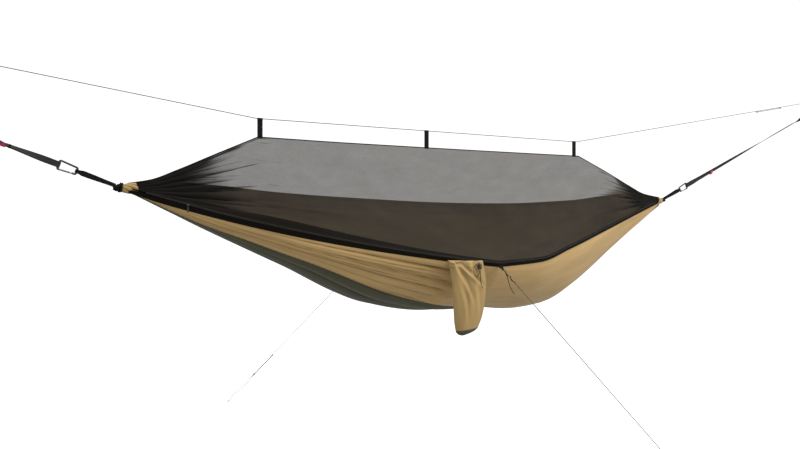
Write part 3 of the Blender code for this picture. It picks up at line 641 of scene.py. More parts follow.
def webbing(name, colour, pitch=0.0021, rough=0.72, contrast=0.5):
    """Flat-woven strap: ribs across it, a fine weave along it and bound edges."""
    p = Paint(name)
    at, u, v = p.uv()
    rib = p.sum("SINE", p.sum("MULTIPLY", u, 2 * math.pi / pitch))
    line = p.sum("SINE", p.sum("MULTIPLY", v, 2 * math.pi / 0.0016))
    shift = p.sum("SINE", p.sum("MULTIPLY", p.sum("ADD", u, p.sum("MULTIPLY", v, 1.0)), 2 * math.pi / (pitch * 2)))
    weave = p.sum("ADD", p.sum("MULTIPLY", rib, line), p.sum("MULTIPLY", shift, 0.5))
    worn = p.noise(p.stretched(at, (60.0, 260.0, 1.0)), 1.0, 4.0, 0.6)
    tone = p.mix(p.span(weave, -1.2, 1.2, 0.0, 1.0), shade(colour, 1 - contrast), shade(colour, 1 + contrast))
    tone = p.mix(p.span(worn, 0.45, 0.78, 0.0, 0.35), tone, shade(colour, 1.9))
    normal = p.bump(weave, 0.00035, 0.8)
    return p.done(tone, p.span(worn, 0.3, 0.7, rough - 0.08, rough + 0.1), normal, Sheen_Weight=0.0, Specular_IOR_Level=0.05)


def braid(name, colour, fleck, pitch=0.004):
    """Braided cord: strands that cross round it, with a fleck woven in."""
    p = Paint(name)
    at, u, v = p.uv()
    a = p.sum("SINE", p.sum("MULTIPLY", p.sum("ADD", p.sum("DIVIDE", u, pitch), p.sum("MULTIPLY", v, 4.0)), 2 * math.pi))
    b = p.sum("SINE", p.sum("MULTIPLY", p.sum("SUBTRACT", p.sum("DIVIDE", u, pitch), p.sum("MULTIPLY", v, 4.0)), 2 * math.pi))
    strands = p.sum("MULTIPLY", a, b)
    spot = p.noise(p.stretched(at, (260.0, 3.0, 1.0)), 1.0, 2.0)
    tone = p.mix(p.span(strands, -0.8, 0.8, 0.0, 1.0), shade(colour, 0.6), shade(colour, 1.35))
    tone = p.mix(p.span(spot, 0.6, 0.7, 0.0, 0.6), tone, fleck)
    normal = p.bump(strands, 0.0004, 0.9)
    return p.done(tone, p.span(spot, 0.3, 0.7, 0.66, 0.82), normal, Sheen_Weight=0.03, Specular_IOR_Level=0.15)


def metal(name, colour, rough, metallic=0.9):
    """Anodised or plated metal with fine rubbing marks."""
    p = Paint(name)
    at, u, v = p.uv()
    marks = p.noise(p.stretched(at, (900.0, 12.0, 1.0)), 1.0, 4.0, 0.6)
    cloudy = p.noise(at, 160.0, 3.0)
    tone = p.mix(p.span(cloudy, 0.3, 0.7, 0.0, 1.0), shade(colour, 0.82), shade(colour, 1.18))
    tone = p.mix(p.span(marks, 0.62, 0.8, 0.0, 0.5), tone, shade(colour, 2.0))
    normal = p.bump(marks, 0.00005, 0.4)
    return p.done(tone, p.span(marks, 0.3, 0.75, rough - 0.08, rough + 0.14), normal, Metallic=metallic, Specular_IOR_Level=0.5)


def plastic(name, colour, rough):
    """Moulded plastic with a fine spark-eroded grain."""
    p = Paint(name)
    at, u, v = p.uv()
    grain = p.noise(p.stretched(at, (2200.0, 60.0, 1.0)), 1.0, 2.0)
    cloudy = p.noise(at, 90.0, 3.0)
    tone = p.mix(p.span(cloudy, 0.3, 0.7, 0.0, 1.0), shade(colour, 0.8), shade(colour, 1.25))
    normal = p.bump(grain, 0.00006, 0.5)
    return p.done(tone, p.span(grain, 0.3, 0.7, rough - 0.06, rough + 0.08), normal, Specular_IOR_Level=0.5)


TAN_C, OLIVE_C = (0.470, 0.314, 0.131), (0.064, 0.062, 0.034)
TAN = nylon("tan_nylon", TAN_C, shade(TAN_C, 0.84), shade(TAN_C, 1.12), 0.55, 0.03, (0.30, 0.20, 0.08))
SACK_C = (0.350, 0.236, 0.094)
SACK_TAN = nylon("sack_nylon", SACK_C, shade(SACK_C, 0.82), shade(SACK_C, 1.14), 0.55, 0.03, (0.25, 0.17, 0.08))
# The cloth's inner faces take dark copies of the tan and olive nylon: painted shade for the hammock's shaded inside.
TAN_IN_SHADE = nylon("tan_nylon_inside_painted_shade", (0.039, 0.028, 0.0145), (0.029, 0.021, 0.0105), (0.045, 0.033, 0.017), 0.7, 0.0, (0.03, 0.025, 0.02), edge_shade_band=0.05)
OLIVE = nylon("olive_nylon", OLIVE_C, shade(OLIVE_C, 0.70), shade(OLIVE_C, 1.30), 0.5, 0.04, (0.045, 0.046, 0.03))
OLIVE_IN_SHADE = nylon("olive_nylon_inside_painted_shade", (0.012, 0.012, 0.007), (0.006, 0.006, 0.004), (0.020, 0.019, 0.011), 0.7, 0.0, (0.02, 0.02, 0.015))
NET = netting("black_net", (0.042, 0.0335, 0.0240), 0.435)
BLACK = webbing("black_webbing", (0.0085, 0.0082, 0.0082))
BINDING = webbing("black_binding", (0.0085, 0.0068, 0.0055), 0.0014, 0.92, 0.3)
ZIP = webbing("zip_coil_grey", (0.024, 0.0235, 0.023), 0.0025, 0.5, 0.6)
GREY = webbing("grey_webbing", (0.030, 0.0275, 0.0265), 0.0024, 0.75, 0.45)
RED = webbing("red_tab", (0.17, 0.014, 0.030), 0.0012, 0.65, 0.25)
# The foot's tag uses a lighter copy of the red tab's colour: painted light.
RED_FOOT_LIT = webbing("red_tab_foot_painted_light", (0.46, 0.070, 0.110), 0.0012, 0.65, 0.25)
STITCH = webbing("bartack_thread", (0.006, 0.006, 0.006), 0.0009, 0.6, 0.5)
CORD = braid("grey_cord", (0.085, 0.083, 0.080), (0.26, 0.25, 0.24))
DARK_CORD = braid("dark_cord", (0.016, 0.012, 0.010), (0.05, 0.04, 0.035))
ALLOY = metal("grey_alloy", (0.055, 0.054, 0.052), 0.38, 0.75)
GATE = metal("satin_alloy", (0.15, 0.148, 0.145), 0.34, 0.85)
STEEL = metal("rivet_steel", (0.60, 0.60, 0.62), 0.26, 1.0)
PLASTIC = plastic("black_plastic", (0.012, 0.012, 0.012), 0.5)
BUTTON = plastic("grey_plastic", (0.045, 0.045, 0.047), 0.32)


# ---------------------------------------------------------------- camera, floor and light
camera = bpy.data.objects.new("camera", bpy.data.cameras.new("camera"))
camera.data.lens = 36
camera.data.sensor_width = 36
camera.data.clip_end = 200
camera.location = (-0.168, -2.817, -0.288)
camera.rotation_euler = Vector((0.524, 0.852, 0)).to_track_quat("-Z", "Y").to_euler()
scene.collection.objects.link(camera)
scene.camera = camera
scene.view_settings.view_transform = "Standard"

p = Paint("pale_floor")
place = p.add("ShaderNodeTexCoord").outputs["Object"]
grain = p.noise(place, 3.0, 4.0)
p.shader.inputs["Emission Color"].default_value = (1, 1, 1, 1)
p.shader.inputs["Emission Strength"].default_value = 0.42
floor_mat = p.done(p.mix(grain, (0.90, 0.90, 0.90), (0.93, 0.93, 0.93)), p.span(grain, 0, 1, 0.8, 0.9), None, Specular_IOR_Level=0.1)
side = 60.0
z = cad_box[0][2] - 0.001
floor_mesh = bpy.data.meshes.new("floor")
floor_mesh.from_pydata([(-side, -side, z), (side, -side, z), (side, side, z), (-side, side, z)], [], [(0, 1, 2, 3)])
floor_mesh.materials.append(floor_mat)
floor = bpy.data.objects.new("floor", floor_mesh)
scene.collection.objects.link(floor)
floor.visible_diffuse = False
floor.visible_glossy = False

# The studio is bright overhead and dimmer below, and its backdrop is white.
world = bpy.data.worlds.new("studio")
world.use_nodes = True
tree = world.node_tree
ground = tree.nodes["Background"]
heading = tree.nodes.new("ShaderNodeTexCoord")
split = tree.nodes.new("ShaderNodeSeparateXYZ")
level = tree.nodes.new("ShaderNodeMapRange")
seen = tree.nodes.new("ShaderNodeLightPath")
choose = tree.nodes.new("ShaderNodeMix")
tree.links.new(heading.outputs["Generated"], split.inputs[0])
tree.links.new(split.outputs[2], level.inputs[0])
for socket, value in zip(level.inputs[1:5], (-0.45, 0.45, 0.56, 0.88)):
    socket.default_value = value
tree.links.new(seen.outputs["Is Camera Ray"], choose.inputs[0])
tree.links.new(level.outputs[0], choose.inputs[2])
choose.inputs[3].default_value = 1.10
tree.links.new(choose.outputs[0], ground.inputs["Strength"])
ground.inputs["Color"].default_value = (1.0, 1.0, 1.0, 1)
scene.world = world


def softbox(name, place, target, size, power, colour=(1, 1, 1)):
    light = bpy.data.lights.new(name, "AREA")
    light.shape = "RECTANGLE"
    light.size, light.size_y = size
    light.energy = power
    light.color = colour
    obj = bpy.data.objects.new(name, light)
    obj.location = place
    obj.rotation_euler = (Vector(target) - Vector(place)).to_track_quat("-Z", "Y").to_euler()
    scene.collection.objects.link(obj)
    return obj


softbox("key", (4.3, -3.4, 2.6), (2.2, 0, -0.3), (1.8, 1.8), 190, (1.0, 0.985, 0.96))
softbox("top", (1.2, -0.6, 3.4), (1.7, 0, -0.2), (2.6, 1.2), 90)


def line_length(points):
    return float(np.linalg.norm(np.diff(np.asarray(points, float), axis=0), axis=1).sum())


def straight(a, b, step=0.02):
    a, b = np.array(a, float), np.array(b, float)
    count = max(int(np.linalg.norm(b - a) / step), 4)
    return a + (b - a) * np.linspace(0, 1, count + 1)[:, None]


def knot(name, centre, direction, radius, half, mat, **rest):
    """A tied knot: three turns of cord wound round a core, drawn tight."""
    axis = unit(np.array(direction, float))
    side = unit(np.cross(axis, (0.3, 0.2, 1.0)))
    other = np.cross(axis, side)
    turns, count = 3.2, 110
    points, radii = [], []
    for i in range(count + 1):
        t = i / count
        h = -half * 0.8 + 1.6 * half * t
        bulge = math.sin(math.pi * (0.12 + 0.76 * t))
        r = (radius - CORD_D * 0.42) * bulge
        a = 2 * math.pi * turns * t
        points.append(np.array(centre) + axis * h + r * (math.cos(a) * side + math.sin(a) * other))
        radii.append(min(CORD_D * 0.52, half * 0.30))
    return tube(name, points, radii, [mat], sides=10, **rest)


NEAR_GUY = unit((0, -1.0, -0.676))
FAR_END = np.array((0.10, 3.04, -1.47))
FAR_GUY = unit(FAR_END - far_hem(FAR_TIE_X))
NEAR_PULL_X = -0.075
TAB_OUT_R, TAB_IN_R = 0.0029, 0.0017
reach = HEM_R + 0.0006 + TAB_OUT_R + 0.0055 + 0.0055 + TAB_OUT_R + 0.0005
near_start = near_hem(NEAR_PULL_X) + NEAR_GUY * reach
far_start = far_hem(FAR_TIE_X) + FAR_GUY * reach
near_from, far_from = near_start + NEAR_GUY * 0.0127, far_start + FAR_GUY * 0.0127
near_to = near_from + NEAR_GUY * 0.915

knot("near_tie_knot", near_start + NEAR_GUY * 0.0062, NEAR_GUY, 0.0050, 0.0065, DARK_CORD, body="hammock", stands_for=["near_guyline_hitch"], slot="guy_cord")
near_knot = knot("near_end_knot", near_to + NEAR_GUY * 0.0065, NEAR_GUY, 0.0050, 0.0065, CORD, body="suspension", stands_for=["near_guyline_knot"], slot="guy_cord")
line = straight(near_from, near_to)
near_line = tube("near_guyline_cord", line, 0.0014, [CORD], sides=12, stands_for=["near_guyline"], slot="guy_cord")
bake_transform(near_line)


def loop_path(tip, direction, half_length, half_width, count=40, power=1.0):
    """An open path that leaves the loop's near tip, rounds the far one and comes back beside where it left."""
    direction = unit(np.array(direction, float))
    sideways = np.cross((0, 0, 1.0), direction)
    if np.linalg.norm(sideways) < 0.1:
        sideways = np.array((1.0, 0, 0))
    sideways = unit(sideways)
    middle = np.array(tip, float) - direction * half_length
    gap = 0.06
    a = np.linspace(math.pi + gap, 3 * math.pi - gap, count)
    across = np.sin(a) * np.abs(np.sin(a)) ** (power - 1)
    return middle + direction * (half_length * np.cos(a))[:, None] + sideways * (half_width * across)[:, None]


near_ring = loop_path(near_to + NEAR_GUY * (0.0130 + CORD_D / 2 + 0.050), NEAR_GUY, 0.025, 0.008)
near_loop = tube(
    "near_peg_loop",
    near_ring,
    CORD_D / 2,
    [CORD],
    body="suspension",
    stands_for=["near_guyline_loop"],
    slot="guy_cord",
)
line_length(near_ring)

# The tie at the near hem is doubled and dark for a hand's length, and its tail hangs beside it.
tail_at = near_start + NEAR_GUY * 0.0062 + np.array((0.0060, -0.002, -0.004))
tail_x = smooth_curve(((0.0, 0.0), (0.025, 0.011), (0.062, 0.022), (0.090, 0.040)))
drop = np.linspace(0, 0.090, 26)
tail_line = tail_at + np.stack([tail_x(drop), -0.10 * drop, -drop], -1)
tail_cord = tube("near_tie_tail", tail_line, CORD_D / 2, [DARK_CORD], body="hammock", stands_for=["near_guyline_tail"], slot="guy_cord")
line_length(tail_line)
wrap_t = np.linspace(0, 1, 60)
wrap_line = (
    near_from
    + NEAR_GUY * (0.004 + 0.074 * wrap_t)[:, None]
    + 0.0030 * (np.cos(2 * np.pi * 2.2 * wrap_t)[:, None] * np.array((1.0, 0, 0)) + np.sin(2 * np.pi * 2.2 * wrap_t)[:, None] * np.cross(NEAR_GUY, (1.0, 0, 0)))
)
wrapped = tube("near_tie_doubling", wrap_line, CORD_D / 2, [DARK_CORD], body="hammock", slot="guy_cord")
line_length(wrap_line)

far_double_from = far_from + FAR_GUY * 1.96
far_pair_from = far_double_from + FAR_GUY * 0.0140
far_pair_to = far_pair_from + FAR_GUY * 0.345
knot("far_tie_knot", far_start + FAR_GUY * 0.0062, FAR_GUY, 0.0050, 0.0065, CORD, body="hammock", stands_for=["far_guyline_hitch"], slot="guy_cord")
line = straight(far_from, far_pair_to)
far_line = tube("far_guyline_cord", line, 0.0014, [CORD], stands_for=["far_guyline"], slot="guy_cord")
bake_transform(far_line)
under = np.array((0, FAR_GUY[2], -FAR_GUY[1])) * (CORD_D + 0.0010)
second = straight(far_pair_from + under, far_pair_to + under)
far_second = tube("far_guyline_second_run", second, 0.0017, [DARK_CORD], body="suspension", stands_for=["far_guyline_doubled"], slot="guy_cord")
far_knot = knot("far_end_knot", far_pair_to + FAR_GUY * 0.0085, FAR_GUY, 0.0068, 0.0085, DARK_CORD, body="suspension", stands_for=["far_guyline_knot"], slot="guy_cord")
slide_at = far_double_from + FAR_GUY * 0.0070
slide_side = unit(np.cross(FAR_GUY, (1.0, 0, 0)))
t = np.linspace(0, 1, 110)
slide_path = (
    slide_at
    + FAR_GUY * ((t - 0.5) * 0.0100)[:, None]
    + 0.0031 * (np.cos(2 * np.pi * 3.5 * t)[:, None] * slide_side + np.sin(2 * np.pi * 3.5 * t)[:, None] * np.cross(FAR_GUY, slide_side))
)
tube("far_sliding_knot", slide_path, 0.00135, [DARK_CORD], sides=10, body="far_slide_knot", stands_for=["far_guyline_slide_knot"], slot="guy_cord")
line_length(line)
line_length(second)
peg_loop = loop_path(far_pair_to + FAR_GUY * (0.0170 + CORD_D / 2 + 0.585), FAR_GUY, 0.2925, 0.012, 90)
far_loop = tube("far_peg_loop", peg_loop, 0.0018, [DARK_CORD], body="suspension", stands_for=["far_guyline_loop"], slot="guy_cord")
line_length(peg_loop)

LOOP_HALF = 0.022
ridge_from, ridge_to = HEAD_EYE_X + 2 * LOOP_HALF + 0.014, FOOT_EYE_X - 2 * LOOP_HALF - 0.014
ridge_xs = np.concatenate(
    [np.linspace(ridge_from, BEND_XS[0], 48), np.linspace(*BEND_XS, 80)[1:], np.linspace(BEND_XS[1], ridge_to, 90)[1:]]
)
ridge_points = ridge_line(ridge_xs)
ridge = tube("ridge_line", ridge_points, 0.0014, [CORD], body="suspension", stands_for=["ridge_cord"], slot="guy_cord")
for end, x0, x1 in (("head", ridge_from, HEAD_EYE_X), ("foot", ridge_to, FOOT_EYE_X)):
    out = unit(ridge_line(x1) - ridge_line(x0))
    knot(f"ridge_line_{end}_knot", ridge_line(x0) + out * 0.0059, out, 0.0048, 0.0060, CORD, body="suspension", stands_for=[f"ridge_{end}_knot"], slot="guy_cord")
    tube(
            f"ridge_line_{end}_loop",
            loop_path(ridge_line(x0) + out * (0.0118 + CORD_D / 2 + 2 * LOOP_HALF), out, LOOP_HALF, 0.009),
            CORD_D / 2,
            [CORD],
            body="suspension",
            stands_for=[f"ridge_{end}_loop"],
            slot="guy_cord",
        )
line_length(ridge_points)

# The ridge line's length is set by a doubled stretch between two sliding knots.
run = unit(ridge_line(2.38) - ridge_line(2.14))
below = np.array((run[2], 0, -run[0]))
ADJ_HALF = 0.118
middle = ridge_line(2.262) + below * (CORD_D / 2 + 0.0034 + 0.0005)
rings = []
for h in np.linspace(-ADJ_HALF, ADJ_HALF, 240):
    out_h = abs(h)
    if out_h > ADJ_HALF - 0.013:
        turn = (ADJ_HALF - out_h) / 0.013
        r = 0.0034 * math.sqrt(max(1 - (2 * turn - 1) ** 4, 0.04)) * (0.88 + 0.12 * abs(math.sin(turn * math.pi * 3)))
    else:
        r = 0.0015 * (1 + 0.04 * math.sin(h * 2 * math.pi / 0.004))
    rings.append((r, h))
turned("ridge_line_adjuster", rings, middle, run, [CORD], steps=16, body="ridge_adjuster", stands_for=["ridge_adjuster"], slot="guy_cord")


# ---------------------------------------------------------------- fabric body
STEPS = 460
XS = station(np.linspace(-1, 1, STEPS + 1))
sections = [girth(x) for x in XS]
GIRTH = np.array([run[-1] for _, run in sections])


def shell_grid(low, high, rows, low_gap, high_gap):
    """Points of the smooth body between two shares of the girth, with the running width of each."""
    shares = (low(XS) * GIRTH + low_gap, high(XS) * GIRTH - high_gap)
    grid = np.zeros((len(XS), rows + 1, 3))
    width = np.zeros((len(XS), rows + 1))
    for i, (points, run) in enumerate(sections):
        d = np.linspace(shares[0][i], shares[1][i], rows + 1)
        grid[i, :, 0] = XS[i]
        grid[i, :, 1] = np.interp(d, run, points[:, 1])
        grid[i, :, 2] = np.interp(d, run, points[:, 2])
        width[i] = d - shares[0][i]
    return grid, width


def edge_window(v, start=0.05, end=0.05):
    return ramp(v, 0, start) * ramp(v, 1, 1 - end)


def body_panel(name, low, high, low_gap, high_gap, rows, folds, mats, stands_for, slot):
    grid, width = shell_grid(low, high, rows, low_gap, high_gap)
    whole = width[:, -1:]
    x = np.repeat(XS[:, None], rows + 1, axis=1)
    v = np.repeat(np.linspace(0, 1, rows + 1)[None], len(XS), axis=0)
    normal = normals_of(grid)
    middle = len(XS) // 2
    centre = np.array((XS[middle], 0.0, 0.0))
    if (normal[middle, rows // 2] * (grid[middle, rows // 2] - centre)).sum() < 0:
        grid, width, normal, v = grid[:, ::-1], width[:, ::-1], -normal[:, ::-1], v[:, ::-1]
    edge = np.minimum(width, whole - width)
    # fold says how deep each point lies in a fold's bottom, and the cloth's material paints it darker there as painted
    # shade.
    move, fold = folds(x, v, width, whole)
    grid = grid + normal * move[..., None]
    # The seam's folded allowance stands a little proud, and its stitching puckers the cloth.
    pucker = 0.0007 * np.sin(2 * np.pi * (x / 0.017 + 0.3 * np.sin(x * 23))) * np.exp(-edge / 0.010) * ramp(edge, 0, 0.002)
    grid = grid + normal * pucker[..., None]
    uv = np.stack([x, width], -1)
    return cloth(name, grid, uv, edge, 0.0011, mats, fold=fold, body="hammock", stands_for=stands_for, slot=slot), grid


def valleys(crest, narrow=0.28):
    """1 at the bottom of each fold and 0 on its crown."""
    return np.exp(-((crest / narrow) ** 2))


def gathers(x, v, whole, count, share=0.26, seed=0.0, head=(-0.98, -1.24), foot=(0.94, 1.24)):
    """Folds that deepen towards both gathered ends, with how much each point lies in a fold's bottom."""
    near_end = ramp(x, *head) + ramp(x, *foot)
    size = np.minimum(0.0120, share * whole / count)
    crest = ridges(v * count + seed + 0.12 * np.sin(x * 9 + v * 7), 0.75)
    return near_end * size * (crest - 0.6) * edge_window(v, 0.04, 0.04), 0.8 * near_end * valleys(crest, 0.34)


def past_hem(distance):
    """0 under the hem's tape and 1 where the cloth is free of it."""
    return ramp(distance, 0.010, 0.034)


def near_folds(x, v, width, whole):
    """Pleats along the head half of the near panel, each with a soft crown and a narrow valley, ending at the sack."""
    count = 5.0
    drift = v * count + 0.22 * np.sin(1.7 * x + 1.2) + 0.06 * np.sin(11 * x + 5 * v)
    reach = ramp(x, -0.16, -0.32) * (0.35 + 0.65 * ramp(x, -1.22, -1.0))
    fade = 1 - 0.30 * ramp(v, 0.55, 0.9)
    size = np.minimum(0.0210, 0.36 * whole / count) * (0.78 + 0.22 * np.sin(3.1 * v * count + 2.0 * x))
    crest = ridges(drift, 0.5)
    pleats = reach * fade * size * (crest - 0.75)
    second = ridges(v * 11.0 + 0.6 * np.sin(2.3 * x + 3.0 * v) + 0.3, 0.6)
    patchy = np.clip(0.5 + 0.9 * np.sin(4.1 * x + 9.0 * v), 0, 1)
    small = reach * 0.0060 * (second - 0.6) * patchy
    # Where the pleats end, by the sack, the cloth is drawn in short upright puckers.
    tuck = np.exp(-(((x + 0.235) / 0.045) ** 2)) * 0.0055 * np.sin(v * 30) * ramp(v, 0.1, 0.25)
    soft = 0.0030 * smooth_noise(x, width, 3, 0.34, 2.2)
    calm = 0.0014 * smooth_noise(x, width, 4, 0.16, 3.0) * ramp(x, 0.2, -0.2)
    ends, end_fold = gathers(x, v, whole, 5)
    third = ridges(v * 23.0 + 0.9 * np.sin(1.9 * x + 5.0 * v), 0.6)
    fold = reach * fade * valleys(crest, 0.22) * edge_window(v, 0.04, 0.04) + 0.45 * reach * patchy * valleys(second, 0.22)
    fold = fold + 0.28 * reach * valleys(third, 0.25) + end_fold
    move = (pleats + small + tuck + soft + calm) * edge_window(v, 0.06, 0.05) + ends
    return move * past_hem(width), np.clip(fold, 0, 1)


def centre_folds(x, v, width, whole):
    """Long drawn streaks along the head half of the centre panel."""
    count = 7.0
    drift = v * count + 0.3 * np.sin(1.3 * x + 0.4)
    reach = ramp(x, 0.30, -0.25) * ramp(x, -1.26, -1.05)
    size = np.minimum(0.0170, 0.32 * whole / count)
    crest = ridges(drift, 0.6)
    streaks = reach * size * (crest - 0.66) * (0.75 + 0.25 * np.sin(5.0 * v * count + 2.6 * x))
    soft = 0.0045 * smooth_noise(x, width, 7, 0.42, 2.5)
    ends, end_fold = gathers(x, v, whole, 8)
    return (streaks + soft) * edge_window(v, 0.05, 0.05) + ends, np.clip(0.8 * reach * valleys(crest, 0.34) + end_fold, 0, 1)


def far_folds(x, v, width, whole):
    count = 4.0
    reach = ramp(x, -0.1, -0.5) * ramp(x, -1.22, -1.0)
    size = np.minimum(0.014, 0.3 * whole / count)
    drift = v * count + 0.25 * np.sin(1.6 * x)
    soft = 0.004 * smooth_noise(x, width, 11, 0.36, 2.2)
    crest = ridges(drift, 0.55)
    ends, end_fold = gathers(x, v, whole, 5)
    return ((reach * size * (crest - 0.7) + soft) * edge_window(v, 0.06, 0.06) + ends) * past_hem(whole - width), np.clip(reach * valleys(crest, 0.26) + end_fold, 0, 1)


def share_of(value):
    return lambda x: np.full(np.shape(x), float(value))


rim_gap = HEM_R * 0.35
near_panel, _ = body_panel(
    "near_side_cloth", share_of(0), near_seam_share, rim_gap, SEAM_GAP / 2, 84, near_folds, [TAN, TAN_IN_SHADE], ["near_side_panel"], "tan_nylon"
)
centre_cloth, _ = body_panel(
    "centre_cloth", near_seam_share, share_of(FAR_SEAM), SEAM_GAP / 2, SEAM_GAP / 2, 110, centre_folds, [OLIVE, OLIVE_IN_SHADE], ["centre_panel"], "olive_nylon"
)
far_cloth, _ = body_panel(
    "far_side_cloth", share_of(FAR_SEAM), share_of(1), SEAM_GAP / 2, rim_gap, 72, far_folds, [TAN, TAN_IN_SHADE], ["far_side_panel"], "tan_nylon"
)


def felled_seam(name, share):
    """The folded allowance that closes the seam between two panels."""
    at_share = share(XS) * GIRTH
    line = np.array([(x, np.interp(d, run, points[:, 1]), np.interp(d, run, points[:, 2])) for x, d, (points, run) in zip(XS, at_share, sections)])
    return tube(name, line, 0.0019, [OLIVE], sides=8, body="hammock", slot="olive_nylon")


felled_seam("near_seam_fell", near_seam_share)
felled_seam("far_seam_fell", share_of(FAR_SEAM))


# ---------------------------------------------------------------- hems, zip and net
def hem_down(end, x):
    """The direction in which the body's cloth leaves the hem at x."""
    points, _ = girth(float(x), 40)
    return unit(points[1] - points[0]) if end == "near" else unit(points[-2] - points[-1])


HEM_XS = station(np.linspace(-1, 1, 261))


def binding(name, end, line, depth, node):
    """A folded tape over the hem: a rounded edge with one leg on each side of the cloth."""
    base = line(HEM_XS)
    down = np.array([hem_down(end, x) for x in HEM_XS])
    tangent = unit(np.gradient(base, axis=0))
    out = unit(np.cross(tangent, down))
    down = np.cross(out, tangent)
    length = depth(HEM_XS)[:, None]
    half = 0.0021
    section = [(-0.0030, 0.0)]
    for i in range(1, 6):
        a = math.pi * i / 12
        section.append((-0.0030 + 0.0030 * (1 - math.cos(a)), half * math.sin(a) / math.sin(math.pi * 5 / 12)))
    verts = []
    for s, o in section:
        verts.append(base + down * s + out * o)
    for share, o in ((0.25, 1.0), (0.55, 0.92), (0.85, 0.92), (0.97, 0.8), (1.0, 0.45)):
        verts.append(base + down * length * share + out * half * o)
    for share, o in ((1.0, -0.45), (0.97, -0.8), (0.85, -0.92), (0.55, -0.92), (0.25, -1.0)):
        verts.append(base + down * length * share + out * half * o)
    for s, o in section[:0:-1]:
        verts.append(base + down * s - out * o)
    rings = np.stack(verts, axis=1)
    count = rings.shape[1]
    return skin(name, rings, [BINDING], v=np.linspace(0, 0.03, count + 1), body="hammock", stands_for=[node], slot="black_webbing")


near_depth = smooth_curve(((-HALF, 0.008), (-1.2, 0.016), (-0.9, 0.018), (-0.4, 0.012), (0.1, 0.0080), (0.4, 0.0065), (1.1, 0.0065), (HALF, 0.007)))
far_depth = smooth_curve(((-HALF, 0.008), (0.0, 0.012), (HALF, 0.008)))
binding("near_hem_tape", "near", near_hem, near_depth, "near_hem_binding")
binding("far_hem_tape", "far", far_hem, far_depth, "far_hem_binding")

zip_xs = station(np.linspace(-1 + 2 / 36, 1 - 2 / 36, 2601))
zip_points = zip_line(zip_xs)
run_along = np.concatenate([[0], np.cumsum(np.linalg.norm(np.diff(zip_points, axis=0), axis=1))])
teeth = 0.0021 + 0.0004 * np.sin(2 * np.pi * run_along / 0.0032)
tube("zip_teeth", zip_points, teeth, [ZIP], sides=8, body="hammock", stands_for=["zip_coil"], slot="black_webbing")

NET_XS = station(np.linspace(-1, 1, 441))


def net_grid(start, end, start_gap, end_gap, rows, folds):
    a, b = start(NET_XS), end(NET_XS)
    reach_ab = b - a
    length = np.linalg.norm(reach_ab, axis=1)
    v = np.linspace(0, 1, rows + 1)
    u = (start_gap + (length[:, None] - start_gap - end_gap) * v[None]) / length[:, None]
    inward = unit(np.stack([np.zeros(len(NET_XS)), -reach_ab[:, 2], reach_ab[:, 1]], -1))
    inward = np.where(inward[:, 2:3] > 0, -inward, inward)
    grid = a[:, None] + reach_ab[:, None] * u[..., None]
    grid = grid + inward[:, None] * (0.03 * length[:, None] * 4 * u * (1 - u))[..., None]
    x = np.repeat(NET_XS[:, None], rows + 1, axis=1)
    vv = np.repeat(v[None], len(NET_XS), axis=0)
    width = length[:, None] * u
    move, gather = folds(x, vv, width, length[:, None])
    grid = grid - inward[:, None] * move[..., None]
    return grid, np.stack([x, width], -1), gather


def net_folds(seed, count):
    def folds(x, v, width, length):
        """Folds fan out from both gathered ends, and the net between them billows a little."""
        head, foot = ramp(x, -0.72, -1.16), ramp(x, 0.80, 1.18)
        far_in = ramp(x, -0.30, -0.95) + ramp(x, 0.40, 1.02)
        drift = v * count + seed + 0.25 * np.sin(4.2 * x + 3 * v)
        size = np.minimum(0.014, 0.34 * length / count)
        crest = ridges(drift, 0.6)
        strong = np.clip(head + foot, 0, 1)
        move = strong * size * (crest - 0.55)
        long_crest = ridges(v * (count * 0.55) + seed * 2 + 0.2 * np.sin(3 * x), 0.7)
        lean = 0.35 * far_in * size * (long_crest - 0.6)
        soft = 0.005 * smooth_noise(x, width, int(20 + seed * 10), 0.38, 2.4)
        window = edge_window(v, 0.07, 0.07)
        # The net bunches in the folds' bottoms, beside its top tape, and altogether at both ends.
        end = ramp(x, -0.90, -1.17) + ramp(x, 0.96, 1.16)
        top = ramp(v, 0.86, 0.97) * (ramp(x, -0.60, -0.90) + ramp(x, 0.60, 0.85)) * (0.55 + 0.45 * np.sin(47 * x + 9 * v))
        gather = np.clip(
            0.50 * np.clip(strong * 1.2, 0, 1)
            + 0.44 * valleys(crest, 0.36) * strong
            + np.clip(0.50 * far_in + 0.24, 0, 0.74) * valleys(long_crest, 0.20) * ramp(far_in, 0.02, 0.30)
            + 0.46 * end
            + 0.35 * np.clip(top, 0, 1),
            0,
            0.975,
        )
        gather = np.where(strong + far_in > 0.001, gather, 0.0)
        return (move + lean + soft) * window, gather

    return folds


seam_gap = RIDGE_SEAM_R * 0.5
near_grid, near_uv, near_gather = net_grid(zip_line, net_ridge, COIL_R * 0.6, seam_gap, 72, net_folds(0.15, 7.0))
near_net = single("near_net", near_grid, near_uv, {"gather": near_gather}, [NET], body="hammock", stands_for=["near_net_panel"], slot="black_net")
far_grid, far_uv, far_gather = net_grid(far_hem, net_ridge, HEM_R * 0.4, seam_gap, 60, net_folds(0.55, 6.0))
far_net = single("far_net", far_grid, far_uv, {"gather": far_gather}, [NET], body="hammock", stands_for=["far_net_panel"], slot="black_net")


